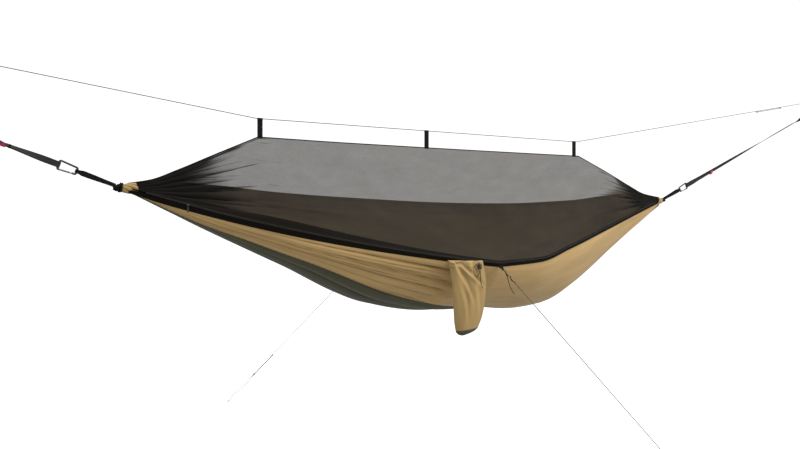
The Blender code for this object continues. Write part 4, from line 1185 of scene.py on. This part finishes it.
def tape_on(name, grid, length_from, length_to, lift, mat):
    """A tape sewn along the lower edge of a net, between two widths from its edge."""
    rows = 6
    line = []
    for i in range(len(grid)):
        run = np.concatenate([[0], np.cumsum(np.linalg.norm(np.diff(grid[i], axis=0), axis=1))])
        lo, hi = length_from(NET_XS[i]), min(float(length_to(NET_XS[i])), run[-1] * 0.8)
        d = np.linspace(lo, hi, rows + 1)
        line.append(np.stack([np.interp(d, run, grid[i][:, k]) for k in range(3)], -1))
    line = np.array(line)
    normal = normals_of(line)
    if normal[len(line) // 2, 2, 1] > 0:
        line = line[:, ::-1]
        normal = -normal[:, ::-1]
    line = line + normal * lift
    width = np.linalg.norm(line - line[:, :1], axis=2)
    x = np.repeat(NET_XS[:, None], rows + 1, axis=1)
    return cloth(name, line, np.stack([x, width], -1), width * 0 + 0.5, 0.0009, [mat, mat], body="hammock", slot="black_webbing")


near_tape = tape_on(
    "near_zip_tape",
    near_grid,
    lambda x: 0.0008,
    smooth_curve(((-HALF, 0.012), (-1.22, 0.026), (-0.9, 0.034), (-0.55, 0.026), (-0.2, 0.014), (0.1, 0.0065), (0.5, 0.0050), (1.2, 0.0055), (HALF, 0.006))),
    0.0009,
    BINDING,
)
far_tape = tape_on("far_net_tape", far_grid, lambda x: 0.0008, share_of(0.010), 0.0009, BINDING)

ridge_xs_net = station(np.linspace(-1, 1, 441))
tube("net_ridge_binding", net_ridge(ridge_xs_net), 0.0021, [BINDING], sides=12, flat=0.42, body="hammock", stands_for=["net_ridge_seam"], slot="black_webbing")


def declare_sheet(obj):
    """Reads the sheet's points and does nothing more with them."""
    mesh = obj.data
    box = np.array([v.co for v in mesh.vertices])


declare_sheet(near_panel)
declare_sheet(centre_cloth)
declare_sheet(far_cloth)
declare_sheet(near_net)
declare_sheet(far_net)


# ---------------------------------------------------------------- gathered ends, hitches, carabiners and straps
def turn_about(v, axis, angle):
    v, axis = np.array(v, float), unit(axis)
    return v * math.cos(angle) + np.cross(axis, v) * math.sin(angle) + axis * axis.dot(v) * (1 - math.cos(angle))


def rounded(corners, radius, count=9):
    out = []
    for i, c in enumerate(corners):
        c = Vector((c[0], c[1]))
        a = (Vector(corners[i - 1]) - c).normalized()
        b = (Vector(corners[(i + 1) % len(corners)]) - c).normalized()
        turn = a.angle(b)
        back = radius / math.tan(turn / 2)
        centre = c + (a + b).normalized() * (radius / math.sin(turn / 2))
        start, end = c + a * back - centre, c + b * back - centre
        sweep = start.angle_signed(end)
        for k in range(count + 1):
            w = -sweep * k / count
            out.append(
                (centre.x + start.x * math.cos(w) - start.y * math.sin(w), centre.y + start.x * math.sin(w) + start.y * math.cos(w))
            )
    return out


def densely(points, step=0.0008):
    """The same line with points at even steps."""
    p = np.asarray(points, float)
    run = np.concatenate([[0], np.cumsum(np.linalg.norm(np.diff(p, axis=0), axis=1))])
    s = np.linspace(0, run[-1], max(int(run[-1] / step), 3))
    return np.stack([np.interp(s, run, p[:, k]) for k in range(3)], -1)


def gathered_sleeve(end, side):
    """The body's cloth drawn together, with folds that wind towards the hitch."""
    count, around = 72, 144
    a = np.linspace(0, 2 * np.pi, around, endpoint=False)
    lo, wide = (1.298, 0.0232) if side < 0 else (1.312, 0.0205)
    taper = smooth_curve(((0.0, wide), (0.35, wide * 0.90), (0.70, 0.0172), (1.0, 0.0140)))
    rings = []
    for inset, r in ((0.0035, 0.55), (0.0016, 0.80), (0.0004, 0.94)):
        rings.append((lo + inset, wide * r, 0.0))
    for i in range(count + 1):
        share = i / count
        rings.append((lo + (1.348 - lo) * share, float(taper(share)), share))
    built = []
    for x_at, base, share in rings:
        folds = ridges(a / (2 * np.pi) * 7 + share * 1.5 + 0.10 * np.sin(3 * a), 0.55)
        fine = ridges(a / (2 * np.pi) * 19 + share * 3.0, 0.8)
        r = base * (1 - 0.20 * (1 - folds) - 0.045 * (1 - fine))
        # The mouth is cut on a slant and its rim waves with the folds.
        slant = 0.0060 * np.sin(a) * (1 - share) + 0.0015 * (1 - folds) * (1 - share)
        built.append(np.stack([side * (x_at + slant), r * np.cos(a), r * np.sin(a) * 0.98 - 0.002], -1))
    # The sleeve's fold bottoms are marked here, and its material paints them darker as painted shade.
    crest = np.array([valleys(ridges(a / (2 * np.pi) * 7 + share * 1.5 + 0.10 * np.sin(3 * a), 0.55), 0.30) for _, _, share in rings])
    total = len(rings) * around + 2
    skin(
        end + "_gathered_sleeve",
        np.array(built),
        [SACK_TAN],
        v=np.linspace(0, 0.11, around + 1),
        attributes={"edge": np.full(total, 0.5), "fold": np.append(0.9 * crest.reshape(-1), (0.0, 0.0))},
        body="hammock",
        stands_for=[end + "_end_sleeve"],
        slot="tan_nylon",
    )


def hitch(end, side):
    """Black webbing wound round the gathered cloth and tucked through itself, drawn down to the end loop."""
    centre = np.array((side * 1.3575, 0, 0.0))
    small = 1.0 if side < 0 else 0.62
    turns, count = 2.7, 260
    t = np.linspace(0, 1, count)
    h = -0.0105 + 0.0270 * t
    r = (0.0152 - 0.0072 * t**1.3 + 0.0012 * np.sin(np.pi * 3 * t)) * small
    a = 2 * np.pi * turns * t
    path = centre + np.stack([side * h, r * np.cos(a), r * np.sin(a)], -1)
    radial = unit(np.stack([0 * t, np.cos(a), np.sin(a)], -1))
    wide = unit(np.array((side, 0, 0.0)) + 0.45 * radial * np.sin(a * 0.5 + 0.6)[:, None])
    coil = ribbon(end + "_hitch_wraps", path, wide, 0.0088 * small, 0.0026, [BLACK], body="hammock", stands_for=[end + "_hitch"], slot="black_webbing")
    core = [(0.0, -0.0130), (0.0110, -0.0128), (0.0135, -0.008), (0.0122, 0.0), (0.0095, 0.008), (0.0068, 0.0150), (0.0045, 0.0190), (0.0, 0.0195)]
    core = [(r_at * small, h_at) for r_at, h_at in core]

    def folded(angle, height):
        return 1 - 0.14 * (1 - ridges(angle / (2 * np.pi) * 8 + height * 40, 0.6))

    turned(end + "_hitch_core", core, centre, (side, 0, 0), [BINDING], steps=72, ripple=folded, body="hammock", slot="black_webbing")
    # The bight that holds the wraps lies across them.
    b = np.linspace(-1, 1, 40)
    bight = centre + np.stack([side * (0.002 + 0.0122 * b), (-0.0135 - 0.0040 * (1 - b**4) + 0.0035 * b) * small, (0.006 - 0.008 * b) * small], -1)
    ribbon(end + "_hitch_bight", bight, (0.15, 0.25, 1), 0.0065, 0.0020, [BLACK], body="hammock", slot="black_webbing")
    return coil


def build_end(end, side, slope, eye_x, lean):
    pull = unit((side, 0, slope))
    up = unit((-slope * side, 0, 1))
    across = np.array((0, 1.0, 0))
    origin = np.array((side * HALF, 0, 0.0))
    scale = 1 / (pull[0] * side)

    def along(d, w=0.0):
        return origin + pull * d * scale + up * w

    centre = along(0.170)
    corners = [(-RING_HALF, RING_NARROW), (RING_HALF, RING_WIDE), (RING_HALF, -RING_WIDE), (-RING_HALF, -RING_NARROW)]
    outline = [Vector(q) for q in rounded(corners, 0.0046)]

    def lower(u_at):
        t_at = (u_at + RING_HALF) / (2 * RING_HALF)
        return Vector((u_at, -(RING_NARROW + (RING_WIDE - RING_NARROW) * t_at)))

    inner = sorted([q for q in outline if q.x < 0], key=lambda q: math.atan2(q.y, -(q.x + RING_HALF - 0.0046)))
    outer = sorted([q for q in outline if q.x >= 0], key=lambda q: -math.atan2(q.y, q.x - RING_HALF + 0.0046))
    path = [lower(GATE_A - 0.0006)] + inner + outer + [lower(GATE_B + 0.0006)]
    line = densely([centre + pull * q.x + up * q.y for q in path])
    run = np.linspace(0, 1, len(line))
    radius = np.full(len(line), RING_R)
    radius[0] = radius[-1] = RING_R * 0.86
    radius[1] = radius[-2] = RING_R * 0.97
    frame_tube = tube(end + "_ring_frame", line, radius, [ALLOY], sides=20, body="suspension", stands_for=[end + "_carabiner_frame"], slot="grey_alloy")

    a, b = lower(GATE_A), lower(GATE_B)
    hinge_u = a.x + 0.0042
    hinge = centre + pull * hinge_u + up * lower(hinge_u).y
    gate_from, gate_to = centre + pull * a.x + up * a.y, centre + pull * b.x + up * b.y
    gate_dir = unit(gate_to - gate_from)
    gate_from, gate_to = gate_from + gate_dir * 0.0004, gate_to - gate_dir * 0.0004
    share = np.linspace(0, 1, 60)
    gate_line = gate_from + (gate_to - gate_from) * share[:, None]
    gate_r = 0.0030 * np.where(share > 0.86, 0.93, 1.0) * np.minimum(1, 0.80 + 12 * np.minimum(share, 1 - share))
    gate_r = gate_r - 0.00030 * np.exp(-(((share - 0.86) / 0.012) ** 2))
    tube(end + "_ring_gate", gate_line, gate_r, [GATE], sides=20, body=end + "_gate", stands_for=[end + "_carabiner_gate"], slot="grey_alloy")
    rivet = [(0.0, 0.0043), (0.0012, 0.0043), (0.0019, 0.0041), (0.0021, 0.0037), (0.0021, 0.0033), (0.0011, 0.0033)]
    rivet += [(0.0011, -0.0033), (0.0021, -0.0033), (0.0021, -0.0037), (0.0019, -0.0041), (0.0012, -0.0043), (0.0, -0.0043)]
    turned(end + "_gate_pin", rivet, hinge, (0, 1, 0), [STEEL], steps=28, body="suspension", stands_for=[end + "_gate_rivet"], slot="rivet_steel")

    bar = RING_R + 0.0006
    # End loop from the hitch round the ring's inner bar: it narrows towards the hitch, as folded webbing does.
    inner_bar = centre - pull * RING_HALF
    path = racetrack_path(along(0.0245), inner_bar, bar + 0.0011, across)
    away = np.abs((path - inner_bar) @ pull) / np.linalg.norm(inner_bar - along(0.0245))
    squeeze = (path - inner_bar) @ across
    path = path - across * (squeeze * 0.45 * ramp(away, 0.12, 0.4))[:, None]
    ribbon(end + "_end_webbing", path, up, 0.0122 + 0.0058 * ramp(away, 0.06, 0.16) - 0.0045 * ramp(away, 0.3, 0.95), 0.0019, [BLACK], closed=True, body="hammock", stands_for=[end + "_end_loop"], slot="black_webbing")

    # Strap loop round the outer bar; it turns on edge on its way to its sewn end.
    tab_at = 0.36 if side < 0 else 0.40
    outer_bar = centre + pull * RING_HALF
    far = along(tab_at - 0.012)
    span = np.linalg.norm(far - outer_bar)
    path = racetrack_path(outer_bar, far, bar + STRAP_T / 2, across)
    d = (path - outer_bar) @ pull
    offset = (path - outer_bar) @ across
    close = np.sign(offset) * np.minimum(np.abs(offset), (bar + STRAP_T / 2) * (1 - ramp(d / span, 0.08, 0.55)) + 0.0013)
    angle = lean * ramp(d / span, 0.10, 1.0)
    wides = np.array([turn_about(up, pull, w) for w in angle])
    outs = np.array([turn_about(across, pull, w) for w in angle])
    path = outer_bar + pull * d[:, None] + outs * close[:, None]
    ribbon(end + "_strap_webbing", path, wides, STRAP_W, 0.0019, [GREY], closed=True, body="suspension", stands_for=[end + "_strap_loop"], slot="grey_webbing")

    # The sewn end: a black bar tack across the strap, and a folded red tag under it.
    reach = np.linalg.norm(far - centre) + bar + STRAP_T
    tab_from = centre + pull * (reach + 0.0004)
    tack = np.linspace(-0.006, 0.018, 30)
    wide_here = turn_about(up, pull, lean)
    across_here = turn_about(across, pull, lean)
    tag_mid = tab_from + pull * 0.008
    s = np.linspace(-1, 1, 41)
    hang = -wide_here * math.copysign(1, wide_here[2]) if abs(wide_here[2]) > 0.2 else np.array((0, 0, -1.0))
    fold = np.abs(s) ** 1.0
    tag = tag_mid + hang * ((0.0215 if side < 0 else 0.0230) * (1 - fold) - (0.0010 if side < 0 else 0.0035))[:, None] + across_here * (0.0021 * np.sign(s) * (0.25 + 0.75 * fold))[:, None]
    # The foot's tag takes the lighter red copy, which is painted light.
    ribbon(end + "_red_tag", tag, pull, 0.0160 if side < 0 else 0.0230, 0.0010, [RED if side < 0 else RED_FOOT_LIT], body="suspension", stands_for=[end + "_bartack_tab"], slot="red_bartack")
    strap_from = tab_from - pull * 0.003
    tip = along(abs(eye_x) - HALF)
    eye_r = 0.012
    eye_outer = tip - pull * (eye_r + STRAP_T)
    eye_inner = eye_outer - pull * 0.020
    strap_to = eye_inner - pull * (eye_r + STRAP_T * 0.5)
    line = straight(strap_from, strap_to, 0.004)
    d = (line - strap_from) @ pull
    reach_on = max(np.linalg.norm(strap_to - strap_from), 0.01)
    if side < 0:
        angle = lean * (1 - ramp(d, 0.0, reach_on))
    else:
        # This strap turns on edge on its way, and flat again where its eye is sewn.
        angle = (lean + (math.radians(78) - lean) * ramp(d, 0, reach_on * 0.75)) * (1 - ramp(d, reach_on * 0.88, reach_on))
    wides = np.array([turn_about(up, pull, w) for w in angle])
    ribbon(end + "_tree_webbing", line, wides, STRAP_W, 0.0021, [GREY], body="suspension", stands_for=[end + "_tree_strap"], slot="grey_webbing")
    path = racetrack_path(eye_inner, eye_outer, eye_r + STRAP_T / 2, across)
    ribbon(end + "_eye_webbing", path, up, STRAP_W, STRAP_T * 0.93, [GREY], closed=True, body="suspension", stands_for=[end + "_strap_eye"], slot="grey_webbing")
    # Rows of bar-tack stitches where webbing is sewn to itself.
    for k, (mid, half, body, wide_dir, out_dir, w) in enumerate(
        (
            (tab_from - pull * 0.012, 0.0030, "suspension", wide_here, across_here, STRAP_W * 0.82),
            (strap_to - pull * 0.006, 0.0045, "suspension", up, across, STRAP_W * 0.82),
            (inner_bar - pull * 0.030, 0.0030, "hammock", up, across, 0.0115),
        )
    ):
        zig = np.linspace(-1, 1, 120)
        for face in (-1, 1):
            height = 0.0024 if k == 1 else 0.0034
            if k == 2:
                height = 0.0036
            points = mid + pull * (half * (2 / np.pi) * np.arcsin(np.sin(zig * 26)))[:, None] + wide_dir * (zig * w / 2)[:, None] + out_dir * (face * height)
            tube(f"{end}_bar_tack_{k}_{'a' if face < 0 else 'b'}", points, 0.00042, [STITCH], sides=6, body=body, slot="black_webbing")


for end, side in (("head", -1), ("foot", 1)):
    gathered_sleeve(end, side)
    hitch(end, side)
build_end("head", -1, HEAD_SLOPE, HEAD_EYE_X, math.radians(58))
build_end("foot", 1, FOOT_SLOPE, FOOT_EYE_X, math.radians(22))


# ---------------------------------------------------------------- the net's tabs and the guylines' tabs
def eye_tab(name, eye, foot, width_dir, width, node, body, spread=0.0016):
    """Webbing folded over a cord: an eye at the top and two legs sewn together below it."""
    eye, foot = np.array(eye, float), np.array(foot, float)
    down = unit(foot - eye)
    out = unit(np.cross(down, np.array(width_dir, float)))
    length = np.linalg.norm(foot - eye)
    r = TAB_IN_R + 0.0006
    points = []
    for d in np.linspace(length, r * 1.2, 22):
        points.append(eye + down * d + out * (r + (spread * 0.5 - r) * float(ramp(d, r, r * 4.5))))
    for i in range(1, 18):
        a = math.pi * i / 18
        points.append(eye - down * (r * math.sin(a)) + out * (r * math.cos(a)))
    for d in np.linspace(r * 1.2, length, 22):
        points.append(eye + down * d - out * (r + (spread * 0.5 - r) * float(ramp(d, r, r * 4.5))))
    tab = ribbon(name, np.array(points), width_dir, width, 0.0012, [BLACK], body=body, stands_for=[node], slot="black_webbing")
    wide = unit(width_dir)
    zig = np.linspace(-1, 1, 90)
    for face in (-1, 1):
        mid = foot - down * 0.0048
        stitch = mid + down * (0.0016 * (2 / np.pi) * np.arcsin(np.sin(zig * 22)))[:, None] + wide * (zig * width * 0.4)[:, None] + out * face * (spread * 0.5 + 0.0008)
        tube(f"{name}_stitches_{'a' if face < 0 else 'b'}", stitch, 0.00035, [STITCH], sides=6, body=body, slot="black_webbing")
    return tab


for name, x, body in (("head", TAB_XS[0], "head_net_tab"), ("middle", TAB_XS[1], "middle_net_tab"), ("foot", TAB_XS[2], "foot_net_tab")):
    bottom = float(net_ridge_z(x)) - 0.0040
    eye_tab(f"net_hanger_{name}", (x, 0, RIDGE_Z), (x, 0, bottom), (1, 0, 0), TAB_W, f"net_tab_{name}", body, 0.0034)
for end, hem, direction in (("near", near_hem(NEAR_PULL_X), NEAR_GUY), ("far", far_hem(FAR_TIE_X), FAR_GUY)):
    foot = hem + direction * (HEM_R * 0.5)
    eye = hem + direction * (HEM_R + 0.0006 + TAB_OUT_R + 0.0110)
    eye_tab(f"{end}_tie_tab", eye, foot, (1, 0, 0), 0.012, f"{end}_guy_tab", "hammock")

# ---------------------------------------------------------------- zip slider and pull
SLIDER_X = -1.15
on_zip = zip_line(SLIDER_X)
radial = unit(np.array((SLIDER_X - ARC_X, 0, 0.0)) + NEAR_OUT * (float(near_r(SLIDER_X)) - ARC_OUT))
tangent = np.cross(NEAR_UP, radial)
tangent = tangent if tangent[0] > 0 else -tangent
slider_mid = on_zip + radial * (COIL_R + 0.0007 + 0.0025)


def body_of_slider():
    """A wedge-shaped slider body with rounded shoulders."""
    rings = []
    for s in np.linspace(-1, 1, 28):
        shrink = math.sqrt(max(1 - abs(s) ** 5, 0.05))
        w = (0.0027 - 0.0006 * ramp(s, -0.2, 0.9)) * shrink
        h = 0.0025 * shrink
        a = np.linspace(0, 2 * np.pi, 28, endpoint=False)
        c, k = np.cos(a), np.sin(a)
        ring = slider_mid + tangent * (0.0055 * s)
        rings.append(ring + NEAR_UP * (w * np.sign(c) * np.abs(c) ** 0.6)[:, None] + radial * (h * np.sign(k) * np.abs(k) ** 0.6)[:, None])
    return skin("zip_slider_body", np.array(rings), [PLASTIC], body="zip_slider", stands_for=["zip_slider"], slot="black_plastic")


body_of_slider()
pull_hinge = slider_mid + radial * (0.0025 + 0.0012)
side_out = unit(np.cross(tangent, (0, 0, 1.0)))
rings = []
for s in np.linspace(0, 1, 40):
    w = 0.0030 * (0.72 + 0.28 * ramp(s, 0.0, 0.35)) * math.sqrt(max(1 - (2 * s - 1) ** 8, 0.04))
    t_here = 0.0008 * (1 - 0.25 * math.exp(-(((s - 0.12) / 0.05) ** 2)))
    grip = 1 + 0.12 * math.sin(s * 60) * float(ramp(s, 0.35, 0.5))
    a = np.linspace(0, 2 * np.pi, 24, endpoint=False)
    c, k = np.cos(a), np.sin(a)
    mid = pull_hinge + np.array((0, 0, -0.0020 - 0.0210 * s))
    rings.append(mid + tangent * (w * np.sign(c) * np.abs(c) ** 0.5)[:, None] + side_out * (t_here * grip * np.sign(k) * np.abs(k) ** 0.7)[:, None])
skin("zip_pull_tab", np.array(rings), [PLASTIC], body="zip_pull", stands_for=["zip_pull"], slot="black_plastic")


# ---------------------------------------------------------------- storage sack
SACK_X, SACK_Y = -0.238, -0.4630
SACK_TOP, SACK_LOW = -0.259, -0.522
CHANNEL, BASE = 0.022, 0.018
sack_width = smooth_curve(((0, 0.075), (0.37, 0.074), (0.62, 0.067), (0.80, 0.058), (0.90, 0.050), (1.0, 0.040)))
sack_shift = smooth_curve(((0, 0.0), (0.37, 0.0150), (0.62, 0.0130), (0.90, 0.0055), (1.0, 0.0)))


def sack_section(z_at):
    t_at = (SACK_TOP - z_at) / (SACK_TOP - SACK_LOW)
    deep = 0.013 + 0.013 * math.sin(math.pi * min(t_at, 1) * 0.75)
    return float(sack_width(t_at)), deep, np.array((SACK_X + float(sack_shift(t_at)), SACK_Y, z_at))


def sack_ring(z_at, shrink=1.0, around=216):
    wide, deep, centre = sack_section(z_at)
    t_at = (SACK_TOP - z_at) / (SACK_TOP - SACK_LOW)
    a = np.linspace(0, 2 * np.pi, around, endpoint=False)
    c, s = np.cos(a), np.sin(a)
    across = c

    # The sack hangs from its upper corner on the head's side, so its folds run down from there across the cloth.
    def ridge_line(start, slope, until, height, wide_by):
        off = across - (start + slope * t_at)
        fades = 1 - float(ramp(t_at, until * 0.6, until))
        return height * fades * (np.exp(-((off / wide_by) ** 2)) - 1.1 * np.exp(-(((off - 1.9 * wide_by) / wide_by) ** 2)))

    folds = ridge_line(-0.88, 1.25, 0.62, 0.0062, 0.13) + ridge_line(-0.80, 3.6, 0.42, 0.0050, 0.15) + ridge_line(-0.90, 0.55, 0.95, 0.0030, 0.12)
    folds = folds + ridge_line(0.02, 0.45, 0.90, 0.0034, 0.13) + 0.0022 * np.sin(5 * across + 7 * t_at) * math.sin(math.pi * min(max(t_at, 0), 1))
    folds = folds + 0.0030 * math.exp(-t_at / 0.09) * (ridges(a / (2 * np.pi) * 15 + 0.5 * np.sin(a * 2), 0.7) - 0.6)
    ring = np.stack([wide * shrink * c, (deep * shrink * np.abs(s) ** 0.9 + folds * np.abs(s) * shrink) * np.sign(s), 0 * a], -1)
    ring = ring * np.array((1 + 0.02 * math.sin(9 * t_at), 1, 1))
    # The bottom hangs lower on the head's side.
    ring[:, 2] += 0.0016 * np.sin(6 * a + 1) * math.exp(-t_at / 0.2) + 0.006 * c * float(ramp(t_at, 0.6, 1.0))
    return ring + centre


def sack_piece(name, levels, mats, nodes, slot, low_v=0.0, band=False):
    rings = np.array([sack_ring(z_at, shrink) for z_at, shrink in levels])
    around = rings.shape[1]
    edge = np.full(len(levels) * around + 2, 0.5)
    if band:
        heights = np.repeat([z_at for z_at, _ in levels], around)
        inner = np.minimum(np.abs(heights - max(z for z, _ in levels)), np.abs(heights - min(z for z, _ in levels)))
        edge[: len(inner)] = inner
    return skin(name, rings, mats, v=np.linspace(0, 0.36, around + 1), attributes={"edge": edge}, body="storage_sack", stands_for=nodes, slot=slot)


channel_low = SACK_TOP - CHANNEL
body_low = SACK_LOW + BASE
top = [(SACK_TOP - 0.0060, 0.12), (SACK_TOP - 0.0035, 0.34), (SACK_TOP - 0.0012, 0.62), (SACK_TOP - 0.0002, 0.84), (SACK_TOP, 0.95), (SACK_TOP - 0.0014, 1.01)]
levels = top + [(z_at, 1.008 + 0.004 * math.sin(i)) for i, z_at in enumerate(np.linspace(SACK_TOP - 0.003, channel_low + 0.002, 9))] + [(channel_low + 0.0006, 0.99)]
channel = sack_piece("sack_channel", levels, [SACK_TAN], ["sack_drawcord_channel"], "tan_nylon")
levels = [(channel_low + 0.0004, 0.96), (channel_low - 0.0006, 0.995)]
levels += [(z_at, 1.0) for z_at in np.linspace(channel_low - 0.003, body_low + 0.002, 60)] + [(body_low, 0.985)]
sack = sack_piece("sack_cloth", levels, [SACK_TAN], ["storage_sack"], "tan_nylon")
levels = [(body_low - 0.0002, 0.97), (body_low - 0.0010, 1.0), (body_low - 0.005, 0.985), (body_low - 0.009, 0.94), (body_low - 0.0125, 0.86), (body_low - 0.0155, 0.74), (body_low - 0.0172, 0.62), (SACK_LOW, 0.44), (SACK_LOW + 0.0006, 0.2)]
base = sack_piece("sack_bottom", levels, [OLIVE], ["sack_base"], "olive_nylon")

hang = np.array((SACK_X, -0.4432, -0.2630))
bow = np.linspace(-1, 1, 24)
strap = hang + np.stack([0 * bow, 0.0016 * np.sign(bow) * np.abs(bow) ** 0.5, 0.0034 - 0.0062 * bow**2], -1)
ribbon("sack_hanger", strap, (1, 0, 0), 0.014, 0.0010, [BLACK], body="hammock", stands_for=["sack_hang_tab"], slot="black_webbing")
hem_above = np.array(near_hem(np.array([SACK_X]))).reshape(-1, 3)[0]
flap_low = np.array((SACK_X, -0.4452, -0.2586))
flap_step = np.linspace(0, 1, 12)[:, None]
flap = (hem_above + (0, -0.0004, -0.0012)) * (1 - flap_step) + flap_low * flap_step
flap[:, 2] -= 0.0016 * np.sin(np.pi * flap_step[:, 0])
ribbon("sack_flap", flap, (1, 0, 0), 0.100, 0.0008, [SACK_TAN], body="hammock", slot="tan_nylon")

LOCK_X, LOCK_LEAN = SACK_X + 0.047, 0.105
lock_mid = np.array((LOCK_X, SACK_Y - 0.0210, -0.2790))
lock_up = np.array((0, math.sin(LOCK_LEAN), math.cos(LOCK_LEAN)))
barrel = [
    (0.0052, 0.0086), (0.0062, 0.0084), (0.0068, 0.0076), (0.0070, 0.0066), (0.0070, 0.0040), (0.0067, 0.0036), (0.0067, 0.0030),
    (0.0070, 0.0026), (0.0070, -0.0052), (0.0068, -0.0070), (0.0062, -0.0081), (0.0052, -0.0086), (0.0024, -0.0086), (0.0018, -0.0080),
    (0.0018, -0.0012), (0.0053, -0.0010), (0.0053, 0.0070),
]
turned("lock_barrel", barrel, lock_mid, lock_up, [PLASTIC], steps=40, ring=True, body="cord_lock", stands_for=["cord_lock_barrel"], slot="black_plastic")
button = [(0.0018, 0.0116), (0.0024, 0.0121), (0.0036, 0.0121), (0.0044, 0.0117), (0.0048, 0.0108), (0.0048, 0.0036), (0.0018, 0.0036)]
turned("lock_button", button, lock_mid, lock_up, [BUTTON], steps=36, ring=True, body="cord_lock_button", stands_for=["cord_lock_button"], slot="black_plastic")
cord_top = lock_mid + lock_up * 0.0160
d = np.linspace(0, 0.095, 60)
free = ramp(d, 0.077, 0.100)
draw = cord_top - lock_up * d[:, None] + np.stack([0.0080 * free, -0.0010 * free, 0 * d], -1)
draw_cord = tube("sack_draw_line", draw, 0.0012, [DARK_CORD], sides=12, body="storage_sack", stands_for=["sack_drawcord"], slot="guy_cord")
line_length(draw)


# A loop of the drawcord stands out beside the lock.
turns = np.array([(-0.0055, 0.000, 0.0125), (-0.020, -0.003, 0.0085), (-0.031, -0.0045, -0.008), (-0.029, -0.005, -0.027), (-0.018, -0.005, -0.036), (-0.0075, -0.004, -0.026), (-0.0025, -0.003, -0.0125)])
share = np.linspace(0, 1, 70)
knots_at = np.linspace(0, 1, len(turns))
loop = np.stack([np.array([float(smooth_curve(tuple((float(k), float(q)) for k, q in zip(knots_at, turns[:, axis])))(w)) for w in share]) for axis in range(3)], -1)
loop = loop + lock_mid
side_loop = tube("sack_draw_loop", loop, 0.0012, [DARK_CORD], sides=12, body="storage_sack", slot="guy_cord")
line_length(loop)


# ---------------------------------------------------------------- end
bpy.context.view_layer.update()
